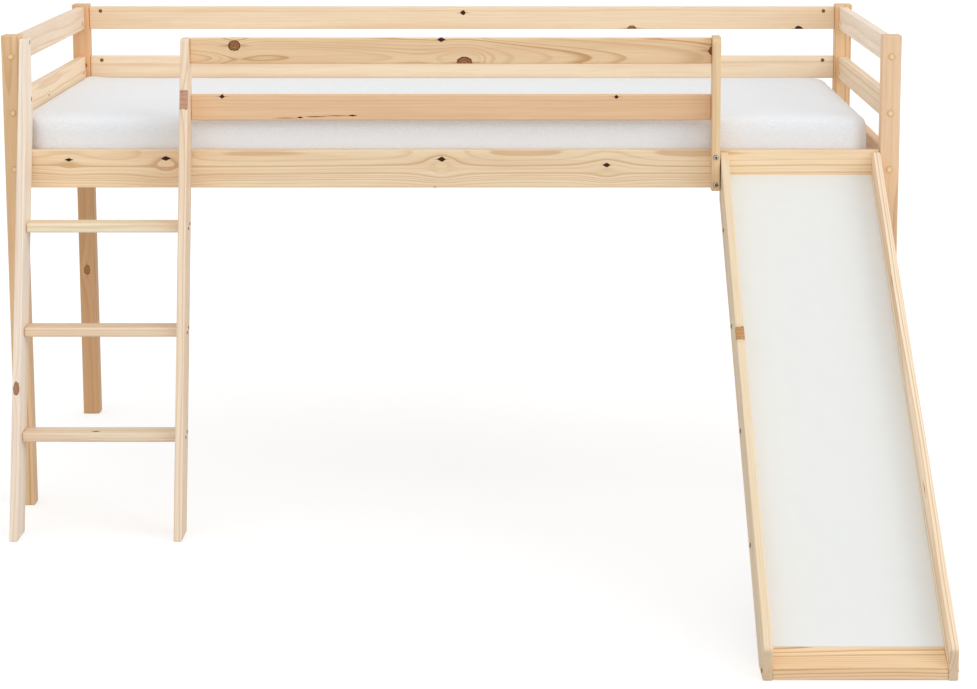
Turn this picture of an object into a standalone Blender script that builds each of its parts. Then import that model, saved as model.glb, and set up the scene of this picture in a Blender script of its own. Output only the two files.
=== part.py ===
"""Mid-sleeper bed for a child in solid pine, with a ladder and a slide on its long side.

Four square posts carry end boards, side rails and back boards, which are pulled tight by bolts and
barrel nuts. A guard runs from the ladder to a short guard post. The slide leans on the front rail
beside it. The mattress lies loose on slats and lifts straight out.

Metres, +Z up. X runs along the bed, and the slide comes down towards -Y. The origin is on the
floor at the centre of the whole object's box.
"""

import math

import bmesh
import bpy
from mathutils import Matrix, Vector

# Mattress, which the frame is sized to hold
MATTRESS_LENGTH = 2.000
MATTRESS_DEPTH = 0.900
MATTRESS_THICK = 0.1234
MATTRESS_CORNER = 0.088
MATTRESS_EDGE = 0.038
MATTRESS_CROWN = 0.004
MATTRESS_DRAW_IN = 0.004
LENGTH_PLAY = 0.034
DEPTH_PLAY = 0.010
MATTRESS_END_ROOM = 0.0006

# Frame of the bed
POST_HEIGHT = 1.130
POST_SIDE = 0.044
POST_HEAD = 0.007
BOARD_THICK = 0.022
BOARD_WIDTH = 0.060
BOARD_SPACING = 0.073
RAIL_WIDTH = 0.090
RAIL_SPACING = 0.070
EDGE_ROUND = 0.0025

# Clearances and cutting
SEAT_GAP = 0.0003
BORE_GAP = 0.0006
OVERRUN = 0.004
WELD = 0.00001

# Holes of the frame's bolts and barrel nuts, and the plugs that close them
SHAFT_RADIUS = 0.0030
HEAD_ROOM = 0.0106
COUNTERBORE_RADIUS = 0.0067
NUT_RADIUS = 0.0050
NUT_LENGTH = 0.0140
NUT_INSET = 0.031
NUT_PASS = 0.008
PLUG_RADIUS = 0.0075
PLUG_RIM_RADIUS = 0.0062
PLUG_DISH_RADIUS = 0.0048
PLUG_DISH_DEPTH = 0.0007
PLUG_PROUD = 0.0018
LENGTH_BOLT_INSET = 0.011
CROSS_BOLT_INSET = 0.018
RAIL_BOLT_INSET = 0.0135

# Spare holes in the inner face of the post at the back left
PILOT_RADIUS = 0.0020
PILOT_DEPTH = 0.012
PILOT_INSET = 0.012
PILOT_HEIGHTS = (0.050, 0.420)

# Slatted base
LEDGE_WIDTH = 0.022
LEDGE_HEIGHT = 0.022
LEDGE_RISE = 0.002
LEDGE_END_ROOM = 0.048
SLAT_COUNT = 14
SLAT_WIDTH = 0.075
SLAT_THICK = 0.018
SLAT_END_ROOM = 0.001
TAPE_WIDTH = 0.020
TAPE_THICK = 0.0010
TAPE_INSET = 0.220
SCREW_LENGTH = 0.034
SCREW_RADIUS = 0.0018
SCREW_HEAD_RADIUS = 0.0036
SCREW_HEAD_HEIGHT = 0.0024

# Ladder and guard
SIDE_THICK = 0.019
LADDER_WIDTH = 0.086
LADDER_LEAN = math.radians(14.96)
LADDER_GAP = 0.356
LADDER_TOP_ROUND = 0.008
LADDER_HEAD_RADIUS = 0.0052
LADDER_HEAD_HEIGHT = 0.0060
RUNG_COUNT = 3
RUNG_THICK = 0.022
RUNG_DEPTH = 0.058
RUNG_INSET = 0.003
RUNG_ROUND = 0.004
RUNG_SCREW_SPREAD = 0.026
GUARD_POST_REACH = 0.041
GUARD_POST_HEAD = 0.005
GUARD_POST_DROP = 0.002
GUARD_POST_ROUND = 0.017
GUARD_BOLT_SPREAD = 0.065
GUARD_BOLT_LENGTH = 0.059
GUARD_HEAD_RADIUS = 0.0060
GUARD_HEAD_HEIGHT = 0.0034
SOCKET_RADIUS = 0.0023
SOCKET_DEPTH = 0.0020
SLEEVE_FLANGE_RADIUS = 0.0065
SLEEVE_FLANGE = 0.0015
SLEEVE_RADIUS = 0.0045
SLEEVE_LENGTH = 0.0120
SLEEVE_REACH = 0.009

# Slide
SLIDE_REACH = 1.240
SLIDE_WIDTH = 0.376
SLIDE_GAP = 0.0025
CHEEK_WIDTH = 0.100
CHEEK_FOOT_HEIGHT = 0.067
CHEEK_HEAD_ROUND = 0.006
CHEEK_FOOT_ROUND = 0.018
PANEL_THICK = 0.005
PANEL_DROP = 0.050
GROOVE_DEPTH = 0.006
FOOT_BOARD_SLOPE = math.radians(21.4)
FOOT_BOARD_RECESS = 0.003
FOOT_BOARD_LIFT = 0.0005
FOOT_SCREW_INSET = 0.010
BATTEN_COUNT = 4
BATTEN_WIDTH = 0.045
BATTEN_THICK = 0.022
BATTEN_HEAD_ROOM = 0.142
BATTEN_FOOT_ROOM = 0.302
SLIDE_SCREW_LENGTH = 0.045
SLIDE_SCREW_RADIUS = 0.0025
SLIDE_BOLT_RECESS = 0.006

# Counts that shape the round pieces
ARC_STEPS = 5
SHAFT_SIDES = 6
NUT_SIDES = 8
HEAD_SIDES = 10

# Planes and points that several pieces share
SETBACK = (POST_SIDE - BOARD_THICK) / 2
BED_LENGTH = MATTRESS_LENGTH + LENGTH_PLAY + 2 * (SETBACK + BOARD_THICK)
BED_DEPTH = MATTRESS_DEPTH + DEPTH_PLAY + 2 * (SETBACK + BOARD_THICK)
FRONT_Y = (SLIDE_REACH - BED_DEPTH - PLUG_PROUD) / 2
BACK_Y = FRONT_Y + BED_DEPTH
CENTRE_Y = (FRONT_Y + BACK_Y) / 2
END_X = BED_LENGTH / 2
POST_INNER_X = END_X - POST_SIDE
POST_CENTRE_X = END_X - POST_SIDE / 2
RAIL_FRONT_Y = FRONT_Y + SETBACK
RAIL_CENTRE_Y = FRONT_Y + POST_SIDE / 2
RAIL_INNER_Y = RAIL_FRONT_Y + BOARD_THICK
BACK_CENTRE_Y = BACK_Y - POST_SIDE / 2
BACK_INNER_Y = BACK_CENTRE_Y - BOARD_THICK / 2
END_INNER_X = END_X - SETBACK - BOARD_THICK
BOARD_TOP = POST_HEIGHT - POST_HEAD
UPPER_BOTTOM = BOARD_TOP - BOARD_WIDTH
MIDDLE_BOTTOM = UPPER_BOTTOM - BOARD_SPACING - BOARD_WIDTH
RAIL_TOP = MIDDLE_BOTTOM - RAIL_SPACING
RAIL_BOTTOM = RAIL_TOP - RAIL_WIDTH
RAIL_MIDDLE = RAIL_BOTTOM + RAIL_WIDTH / 2
LEDGE_BOTTOM = RAIL_BOTTOM + LEDGE_RISE
LEDGE_TOP = LEDGE_BOTTOM + LEDGE_HEIGHT
SLAT_BOTTOM = LEDGE_TOP + SEAT_GAP
SLAT_TOP = SLAT_BOTTOM + SLAT_THICK
MATTRESS_BOTTOM = SLAT_TOP + SEAT_GAP
RUNG_PITCH = (MATTRESS_BOTTOM + MATTRESS_THICK) / (RUNG_COUNT + 1)
SIDES = (("left", -1), ("right", 1))
UPPER_LEVELS = (("upper", UPPER_BOTTOM), ("middle", MIDDLE_BOTTOM))

X_AXIS = Vector((1, 0, 0))
Y_AXIS = Vector((0, 1, 0))
Z_AXIS = Vector((0, 0, 1))


def clear_scene():
    """Remove what the start file holds."""
    for thing in list(bpy.data.objects):
        bpy.data.objects.remove(thing, do_unlink=True)


def new_collection(name):
    """A collection linked to the scene."""
    collection = bpy.data.collections.new(name)
    bpy.context.scene.collection.children.link(collection)
    return collection


def new_material(name, colour, roughness, metallic=0.0):
    """A Principled finish."""
    finish = bpy.data.materials.new(name)
    finish.use_nodes = True
    shader = finish.node_tree.nodes["Principled BSDF"]
    shader.inputs["Base Color"].default_value = (*colour, 1.0)
    shader.inputs["Roughness"].default_value = roughness
    shader.inputs["Metallic"].default_value = metallic
    return finish


clear_scene()
PARTS = new_collection("bunk_bed_with_slide")
CUTTERS = new_collection("cutters")
PINE = new_material("pine", (0.80, 0.58, 0.34), 0.45)
WHITE_PANEL = new_material("white_panel", (0.84, 0.84, 0.80), 0.35)
FABRIC = new_material("mattress_fabric", (0.82, 0.82, 0.83), 0.90)
STEEL = new_material("zinc_steel", (0.55, 0.54, 0.50), 0.35, 1.0)
PLUG_PLASTIC = new_material("plug_plastic", (0.76, 0.52, 0.28), 0.40)
WEBBING = new_material("webbing", (0.70, 0.68, 0.62), 0.90)


def add_object(name, mesh, finish, collection):
    """Put a mesh into the scene as a named object with one finish."""
    mesh.materials.clear()
    mesh.materials.append(finish)
    piece = bpy.data.objects.new(name, mesh)
    collection.objects.link(piece)
    return piece


def evaluated_mesh(piece):
    """A copy of the mesh that an object's modifiers or curve settings give."""
    graph = bpy.context.evaluated_depsgraph_get()
    return bpy.data.meshes.new_from_object(piece.evaluated_get(graph))


def round_edges(piece, radius, steps):
    """Bevel the edges between faces that meet at more than a third of a right angle."""
    bevel = piece.modifiers.new("rounded_edges", "BEVEL")
    bevel.width = radius
    bevel.segments = steps
    bevel.limit_method = "ANGLE"
    bevel.angle_limit = math.radians(30)


def combine(piece, tool, operation, label):
    """Cut the tool out of the piece, or join the two, and hide the tool."""
    tool.hide_render = True
    tool.display_type = "WIRE"
    boolean = piece.modifiers.new(label, "BOOLEAN")
    boolean.operation = operation
    boolean.solver = "EXACT"
    boolean.object = tool


def block(name, low, high, finish=PINE, radius=EDGE_ROUND, steps=2):
    """A straight board: a cube primitive at its real size, with its edges taken off."""
    low = Vector(low)
    high = Vector(high)
    shape = bmesh.new()
    bmesh.ops.create_cube(shape, size=1)
    bmesh.ops.scale(shape, vec=high - low, verts=shape.verts)
    mesh = bpy.data.meshes.new(name)
    shape.to_mesh(mesh)
    shape.free()
    piece = add_object(name, mesh, finish, PARTS)
    piece.location = (low + high) / 2
    round_edges(piece, radius, steps)
    return piece


def crossing(point, angle, other, other_angle):
    """Point of the YZ plane where two lines meet, each given by a point and its angle to +Y."""
    ahead = Vector((math.cos(angle), math.sin(angle)))
    across = Vector((math.cos(other_angle), math.sin(other_angle)))
    return point + ahead * (other - point).cross(across) / ahead.cross(across)


def rounded_outline(corners):
    """Points of an outline whose corners are (y, z, radius), each round one swept as an arc."""
    points = []
    for index, (y, z, radius) in enumerate(corners):
        here = Vector((y, z))
        if radius == 0:
            points.append(here)
            continue
        back = (Vector(corners[index - 1][:2]) - here).normalized()
        ahead = (Vector(corners[(index + 1) % len(corners)][:2]) - here).normalized()
        half = back.angle(ahead) / 2
        centre = here + (back + ahead).normalized() * radius / math.sin(half)
        start = here + back * radius / math.tan(half) - centre
        end = here + ahead * radius / math.tan(half) - centre
        turn = math.atan2(start.cross(end), start.dot(end))
        for step in range(ARC_STEPS + 1):
            points.append(centre + Matrix.Rotation(turn * step / ARC_STEPS, 2) @ start)
    return points


def plate(name, corners, left_x, thick, finish=PINE, collection=PARTS):
    """A flat piece cut to an outline in the YZ plane, which starts at left_x."""
    points = rounded_outline(corners)
    curve = bpy.data.curves.new(name + "_outline", "CURVE")
    curve.dimensions = "2D"
    curve.fill_mode = "BOTH"
    curve.extrude = thick / 2
    line = curve.splines.new("POLY")
    line.points.add(len(points) - 1)
    for knot, (y, z) in zip(line.points, points):
        knot.co = (y, z, 0, 1)
    line.use_cyclic_u = True
    guide = bpy.data.objects.new(name + "_outline", curve)
    collection.objects.link(guide)
    mesh = evaluated_mesh(guide)
    bpy.data.objects.remove(guide, do_unlink=True)

    shape = bmesh.new()
    shape.from_mesh(mesh)
    bmesh.ops.remove_doubles(shape, verts=shape.verts, dist=WELD)
    bmesh.ops.dissolve_limit(
        shape, angle_limit=math.radians(1), verts=shape.verts, edges=shape.edges
    )
    bmesh.ops.recalc_face_normals(shape, faces=shape.faces)
    shape.to_mesh(mesh)
    shape.free()
    piece = add_object(name, mesh, finish, collection)
    standing = Matrix((Z_AXIS, X_AXIS, Y_AXIS)).to_4x4()
    piece.matrix_world = Matrix.Translation(X_AXIS * (left_x + thick / 2)) @ standing
    return piece


def turned(profile, sides):
    """A mesh turned about its own Z axis from (radius, height) points, given top to bottom."""
    shape = bmesh.new()
    ring = [shape.verts.new((radius, 0, height)) for radius, height in profile]
    edges = [shape.edges.new(pair) for pair in zip(ring, ring[1:])]
    bmesh.ops.spin(
        shape, geom=ring + edges, axis=Z_AXIS, cent=(0, 0, 0),
        steps=sides, angle=math.tau, use_merge=True,
    )
    bmesh.ops.remove_doubles(shape, verts=shape.verts, dist=WELD)
    bmesh.ops.recalc_face_normals(shape, faces=shape.faces)
    mesh = bpy.data.meshes.new("turned")
    shape.to_mesh(mesh)
    shape.free()
    return mesh


def rod(radius, top, bottom, sides):
    """A plain cylinder between two heights."""
    return turned(((0, top), (radius, top), (radius, bottom), (0, bottom)), sides)


def headed(head_radius, head_top, seat, radius, bottom, sides):
    """A cylinder head that ends at its seat, over a thinner shaft that runs on to the bottom."""
    return turned(
        (
            (0, head_top), (head_radius, head_top), (head_radius, seat),
            (radius, seat), (radius, bottom), (0, bottom),
        ),
        sides,
    )


def facing(direction, origin):
    """Placement that turns a turned mesh's +Z to the direction and puts it at the origin point."""
    return Matrix.Translation(origin) @ direction.to_track_quat("Z", "Y").to_matrix().to_4x4()


def across(inward, along, origin):
    """Placement of a barrel nut: its Z points out of the wood and its X runs along the bolt."""
    turn = Matrix((along, inward.cross(along), inward)).transposed()
    return Matrix.Translation(origin) @ turn.to_4x4()


def copies(name, template, places, finish):
    """A tool with a separate copy of the template mesh at each place."""
    shape = bmesh.new()
    for place in places:
        count = len(shape.verts)
        shape.from_mesh(template)
        shape.verts.ensure_lookup_table()
        bmesh.ops.transform(shape, matrix=place, verts=shape.verts[count:])
    mesh = bpy.data.meshes.new(name)
    shape.to_mesh(mesh)
    shape.free()
    return add_object(name, mesh, finish, CUTTERS)


def cut(piece, template, places, label):
    """Take a copy of the template out of the piece at each place."""
    cutter = copies(f"{piece.name}_{label}_cutter", template, places, piece.data.materials[0])
    combine(piece, cutter, "DIFFERENCE", label)


def fastener(name, mesh, place):
    """A steel fastener of its own, smooth round its shaft."""
    piece = add_object(name, mesh, STEEL, PARTS)
    piece.matrix_world = place
    mesh.shade_smooth()
    mesh.set_sharp_from_angle(angle=math.radians(62))


# Tools that cut the holes, each a turned mesh whose seat or mouth lies at its own origin
BOLT_LENGTH = POST_SIDE - HEAD_ROOM + NUT_INSET + NUT_PASS
BORE_RADIUS = SHAFT_RADIUS + BORE_GAP
BOLT_BORE = headed(
    COUNTERBORE_RADIUS, HEAD_ROOM + OVERRUN, 0, BORE_RADIUS, -BOLT_LENGTH - SEAT_GAP, SHAFT_SIDES
)
NUT_HOLE = rod(
    NUT_RADIUS + SEAT_GAP, BOARD_THICK / 2 + OVERRUN, -NUT_LENGTH / 2 - SEAT_GAP, NUT_SIDES
)
GUARD_BORE = rod(BORE_RADIUS, OVERRUN, -GUARD_BOLT_LENGTH - SEAT_GAP, SHAFT_SIDES)
HEAD_RECESS = rod(GUARD_HEAD_RADIUS + BORE_GAP, SLIDE_BOLT_RECESS + OVERRUN, 0, NUT_SIDES)
SLEEVE_HOLE = headed(
    SLEEVE_FLANGE_RADIUS, OVERRUN, -SLEEVE_FLANGE, SLEEVE_RADIUS, -SLEEVE_LENGTH, NUT_SIDES
)
SINK_SLOPE = (SCREW_HEAD_RADIUS - SCREW_RADIUS) / SCREW_HEAD_HEIGHT
SCREW_BORE = turned(
    (
        (0, OVERRUN), (SCREW_HEAD_RADIUS + OVERRUN * SINK_SLOPE, OVERRUN),
        (SCREW_RADIUS, -SCREW_HEAD_HEIGHT), (SCREW_RADIUS, -SCREW_LENGTH), (0, -SCREW_LENGTH),
    ),
    SHAFT_SIDES,
)
SLIDE_SCREW_BORE = rod(SLIDE_SCREW_RADIUS, OVERRUN, -SLIDE_SCREW_LENGTH, SHAFT_SIDES)
PILOT_HOLE = rod(PILOT_RADIUS, OVERRUN, -PILOT_DEPTH, SHAFT_SIDES)

# Plugs and bolts
PLUG = turned(
    (
        (0, PLUG_PROUD - PLUG_DISH_DEPTH),
        (PLUG_DISH_RADIUS, PLUG_PROUD - PLUG_DISH_DEPTH),
        (PLUG_RIM_RADIUS, PLUG_PROUD),
        (PLUG_RADIUS, -SEAT_GAP),
        (0, -SEAT_GAP),
    ),
    HEAD_SIDES,
)
GUARD_BOLT = turned(
    (
        (0, GUARD_HEAD_HEIGHT - SOCKET_DEPTH),
        (SOCKET_RADIUS, GUARD_HEAD_HEIGHT - SOCKET_DEPTH),
        (SOCKET_RADIUS, GUARD_HEAD_HEIGHT),
        (GUARD_HEAD_RADIUS, GUARD_HEAD_HEIGHT),
        (GUARD_HEAD_RADIUS, SEAT_GAP),
        (SHAFT_RADIUS, SEAT_GAP),
        (SHAFT_RADIUS, -GUARD_BOLT_LENGTH),
        (0, -GUARD_BOLT_LENGTH),
    ),
    HEAD_SIDES,
)
LADDER_BOLT = headed(
    LADDER_HEAD_RADIUS, LADDER_HEAD_HEIGHT, SEAT_GAP, SHAFT_RADIUS,
    HEAD_ROOM - POST_SIDE - SEAT_GAP - SIDE_THICK + SLEEVE_LENGTH - SLEEVE_REACH, HEAD_SIDES,
)


class Joinery:
    """Where the frame is bolted: each piece's holes and plugs are gathered, then made at the end."""

    def __init__(self):
        self.bores = {}
        self.nut_holes = {}
        self.plugs = {}

    def post_bolt(self, post, board, outward, face):
        """Bore for a bolt from a point on the post's outer face into a board; a plug covers it."""
        seat = facing(outward, face - outward * HEAD_ROOM)
        for piece in (post, board):
            self.bores.setdefault(piece, []).append(seat)
        self.plugs.setdefault(post, []).append(facing(outward, face))
        return seat

    def post_joint(self, post, board, outward, face, inward):
        """A bolt through the post, with a barrel nut in the board's end."""
        self.post_bolt(post, board, outward, face)
        self.nut(board, outward, face - outward * (POST_SIDE + NUT_INSET), inward)

    def nut(self, board, along, centre, inward):
        """Hole for a barrel nut across the board, which opens on its inward side."""
        self.nut_holes.setdefault(board, []).append(across(inward, along, centre))

    def make_all(self):
        """Cut the gathered holes, then set the plugs."""
        for piece, places in self.bores.items():
            cut(piece, BOLT_BORE, places, "bores")
        for piece, places in self.nut_holes.items():
            cut(piece, NUT_HOLE, places, "nut_holes")
        for post, places in self.plugs.items():
            plugs = copies(f"{post.name}_plugs", PLUG, places, PLUG_PLASTIC)
            combine(post, plugs, "UNION", "plugs")


joinery = Joinery()


def corner_posts():
    """The four square posts, by (side, end)."""
    posts = {}
    for end, outer_y, sign_y in (("front", FRONT_Y, 1), ("back", BACK_Y, -1)):
        for side, sign in SIDES:
            inner_y = outer_y + sign_y * POST_SIDE
            posts[side, end] = block(
                f"post_{end}_{side}",
                (min(sign * END_X, sign * POST_INNER_X), min(outer_y, inner_y), 0),
                (max(sign * END_X, sign * POST_INNER_X), max(outer_y, inner_y), POST_HEIGHT),
            )
    pilots = [
        facing(X_AXIS, Vector((-POST_INNER_X, BACK_Y - POST_SIDE + PILOT_INSET, height)))
        for height in PILOT_HEIGHTS
    ]
    cut(posts["left", "back"], PILOT_HOLE, pilots, "pilots")
    return posts


def end_boards(posts):
    """Three boards at each end, between the front and back posts, with one bolt at each end."""
    low_y = FRONT_Y + POST_SIDE + SEAT_GAP
    high_y = BACK_Y - POST_SIDE - SEAT_GAP
    levels = [(f"end_board_{level}", bottom, BOARD_WIDTH, bottom + CROSS_BOLT_INSET)
              for level, bottom in UPPER_LEVELS]
    levels.append(("end_rail", RAIL_BOTTOM, RAIL_WIDTH, RAIL_MIDDLE))
    for side, sign in SIDES:
        faces = sorted((sign * END_INNER_X, sign * (END_INNER_X + BOARD_THICK)))
        for name, bottom, width, bolt_z in levels:
            board = block(
                f"{name}_{side}", (faces[0], low_y, bottom), (faces[1], high_y, bottom + width)
            )
            for end, outer_y, outward in (("front", FRONT_Y, -Y_AXIS), ("back", BACK_Y, Y_AXIS)):
                face = Vector((sign * POST_CENTRE_X, outer_y, bolt_z))
                joinery.post_joint(posts[side, end], board, outward, face, -sign * X_AXIS)


def long_board(name, centre_y, bottom, width, bolt_heights, posts, end, inward):
    """A board along the bed, between two posts, with its bolts at both ends."""
    reach = POST_INNER_X - SEAT_GAP
    board = block(
        name,
        (-reach, centre_y - BOARD_THICK / 2, bottom),
        (reach, centre_y + BOARD_THICK / 2, bottom + width),
    )
    for side, sign in SIDES:
        for height in bolt_heights:
            face = Vector((sign * END_X, centre_y, height))
            joinery.post_joint(posts[side, end], board, sign * X_AXIS, face, inward)
    return board


def long_boards(posts):
    """The two side rails, and the two boards at the back above the mattress."""
    rail_bolts = (RAIL_BOTTOM + RAIL_BOLT_INSET, RAIL_TOP - RAIL_BOLT_INSET)
    front_rail = long_board(
        "side_rail_front", RAIL_CENTRE_Y, RAIL_BOTTOM, RAIL_WIDTH, rail_bolts, posts, "front", Y_AXIS
    )
    long_board(
        "side_rail_back", BACK_CENTRE_Y, RAIL_BOTTOM, RAIL_WIDTH, rail_bolts, posts, "back", -Y_AXIS
    )
    for level, bottom in UPPER_LEVELS:
        bolts = (bottom + BOARD_WIDTH - LENGTH_BOLT_INSET,)
        long_board(
            f"back_board_{level}", BACK_CENTRE_Y, bottom, BOARD_WIDTH, bolts, posts, "back", -Y_AXIS
        )
    return front_rail


def slatted_base():
    """Ledges inside the side rails, slats across them, tapes that link the slats, screw holes."""
    half = POST_INNER_X - LEDGE_END_ROOM
    ledges = []
    for end, inner_y, sign in (("front", RAIL_INNER_Y, 1), ("back", BACK_INNER_Y, -1)):
        near = inner_y + sign * SEAT_GAP
        far = near + sign * LEDGE_WIDTH
        ledge = block(
            f"slat_ledge_{end}", (-half, min(near, far), LEDGE_BOTTOM),
            (half, max(near, far), LEDGE_TOP), steps=1,
        )
        ledges.append((ledge, (near + far) / 2))

    pitch = (2 * half - SLAT_WIDTH) / (SLAT_COUNT - 1)
    slats = []
    for index in range(SLAT_COUNT):
        left = -half + index * pitch
        slats.append(block(
            f"slat_{index + 1:02d}",
            (left, RAIL_INNER_Y + SLAT_END_ROOM, SLAT_BOTTOM),
            (left + SLAT_WIDTH, BACK_INNER_Y - SLAT_END_ROOM, SLAT_TOP),
            steps=1,
        ))
    for end, centre_y in (("front", RAIL_INNER_Y + TAPE_INSET), ("back", BACK_INNER_Y - TAPE_INSET)):
        block(
            f"slat_tape_{end}",
            (-half, centre_y - TAPE_WIDTH / 2, SLAT_BOTTOM - SEAT_GAP - TAPE_THICK),
            (half, centre_y + TAPE_WIDTH / 2, SLAT_BOTTOM - SEAT_GAP),
            WEBBING, radius=TAPE_THICK / 4, steps=1,
        )

    screws = []
    for slat, x in ((slats[0], -half + SLAT_WIDTH / 2), (slats[-1], half - SLAT_WIDTH / 2)):
        places = [facing(Z_AXIS, Vector((x, y, SLAT_TOP))) for ledge, y in ledges]
        cut(slat, SCREW_BORE, places, "screws")
        screws += places
    for row, (ledge, y) in enumerate(ledges):
        cut(ledge, SCREW_BORE, screws[row::len(ledges)], "screws")


def mattress():
    """The loose foam mattress: a cage with a raised top and drawn-in long sides, subdivided."""
    size = Vector((MATTRESS_LENGTH, MATTRESS_DEPTH, MATTRESS_THICK - MATTRESS_CROWN))
    shape = bmesh.new()
    bmesh.ops.create_cube(shape, size=1)
    bmesh.ops.scale(shape, vec=size, verts=shape.verts)
    loops = (
        (X_AXIS, (size.x / 2 - MATTRESS_CORNER, size.x / 6)),
        (Y_AXIS, (size.y / 2 - MATTRESS_CORNER,)),
        (Z_AXIS, (size.z / 2 - MATTRESS_EDGE,)),
    )
    for axis, places in loops:
        for place in places:
            for sign in (-1, 1):
                bmesh.ops.bisect_plane(
                    shape, geom=shape.verts[:] + shape.edges[:] + shape.faces[:],
                    plane_co=axis * sign * place, plane_no=axis,
                )
    for vert in shape.verts:
        inside = size.x / 2 - abs(vert.co.x) > WELD and size.y / 2 - abs(vert.co.y) > WELD
        between = abs(vert.co.x) < size.x / 4 and size.y / 2 - abs(vert.co.y) < WELD
        if vert.co.z > size.z / 2 - WELD and inside:
            vert.co.z += MATTRESS_CROWN
        elif between and abs(vert.co.z) < size.z / 2 - WELD:
            vert.co.y -= math.copysign(MATTRESS_DRAW_IN, vert.co.y)
    bmesh.ops.translate(shape, vec=Z_AXIS * size.z / 2, verts=shape.verts)
    bmesh.ops.recalc_face_normals(shape, faces=shape.faces)
    mesh = bpy.data.meshes.new("mattress")
    shape.to_mesh(mesh)
    shape.free()
    piece = add_object("mattress", mesh, FABRIC, PARTS)
    piece.location = (
        -END_INNER_X + MATTRESS_END_ROOM + MATTRESS_LENGTH / 2, CENTRE_Y, MATTRESS_BOTTOM
    )
    surface = piece.modifiers.new("soft_form", "SUBSURF")
    surface.levels = 2
    surface.render_levels = 2
    mesh.shade_smooth()


def ladder(posts):
    """Two leaning sides and three rungs. The left side is bolted to the post beside it."""
    seat_y = RAIL_FRONT_Y - SEAT_GAP / math.cos(LADDER_LEAN)
    slope = math.tan(LADDER_LEAN)
    board = LADDER_WIDTH / math.cos(LADDER_LEAN)
    foot_back = seat_y - RAIL_TOP * slope
    bend_z = RAIL_TOP + (RAIL_INNER_Y - seat_y) / slope
    corners = (
        (foot_back - board, 0, 0),
        (foot_back, 0, 0),
        (RAIL_INNER_Y, bend_z, 0),
        (RAIL_INNER_Y, BOARD_TOP, 0),
        (foot_back - board + BOARD_TOP * slope, BOARD_TOP, LADDER_TOP_ROUND),
    )
    left_x = -POST_INNER_X + SEAT_GAP
    inner_left = left_x + SIDE_THICK
    inner_right = inner_left + LADDER_GAP
    rails = [plate("ladder_side_left", corners, left_x, SIDE_THICK),
             plate("ladder_side_right", corners, inner_right, SIDE_THICK)]
    for rail in rails:
        round_edges(rail, EDGE_ROUND, 2)

    screw_rows = {rail: [] for rail in rails}
    for index in range(RUNG_COUNT):
        top = RUNG_PITCH * (index + 1)
        middle = top - RUNG_THICK / 2
        back_y = foot_back + middle * slope - RUNG_INSET
        rung = block(
            f"rung_{index + 1}",
            (inner_left + SEAT_GAP, back_y - RUNG_DEPTH, top - RUNG_THICK),
            (inner_right - SEAT_GAP, back_y, top),
            radius=RUNG_ROUND,
        )
        centre = Vector((0, back_y - RUNG_DEPTH / 2, middle))
        lean = Vector((0, 1, slope)) * RUNG_SCREW_SPREAD / 2
        places = []
        for rail, outward, face_x in (
            (rails[0], -X_AXIS, left_x), (rails[1], X_AXIS, inner_right + SIDE_THICK)
        ):
            pair = [facing(outward, centre + X_AXIS * face_x + lean * way) for way in (-1, 1)]
            screw_rows[rail] += pair
            places += pair
        cut(rung, SCREW_BORE, places, "screws")
    for rail, places in screw_rows.items():
        cut(rail, SCREW_BORE, places, "screws")

    sleeves = []
    for level, bottom in UPPER_LEVELS:
        height = bottom + BOARD_WIDTH - LENGTH_BOLT_INSET
        face = Vector((-END_X, RAIL_CENTRE_Y, height))
        seat = joinery.post_bolt(posts["left", "front"], rails[0], -X_AXIS, face)
        fastener(f"ladder_bolt_{level}", LADDER_BOLT, seat)
        sleeves.append(facing(X_AXIS, Vector((inner_left, RAIL_CENTRE_Y, height))))
    cut(rails[0], SLEEVE_HOLE, sleeves, "sleeves")
    return rails[1], inner_right


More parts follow.
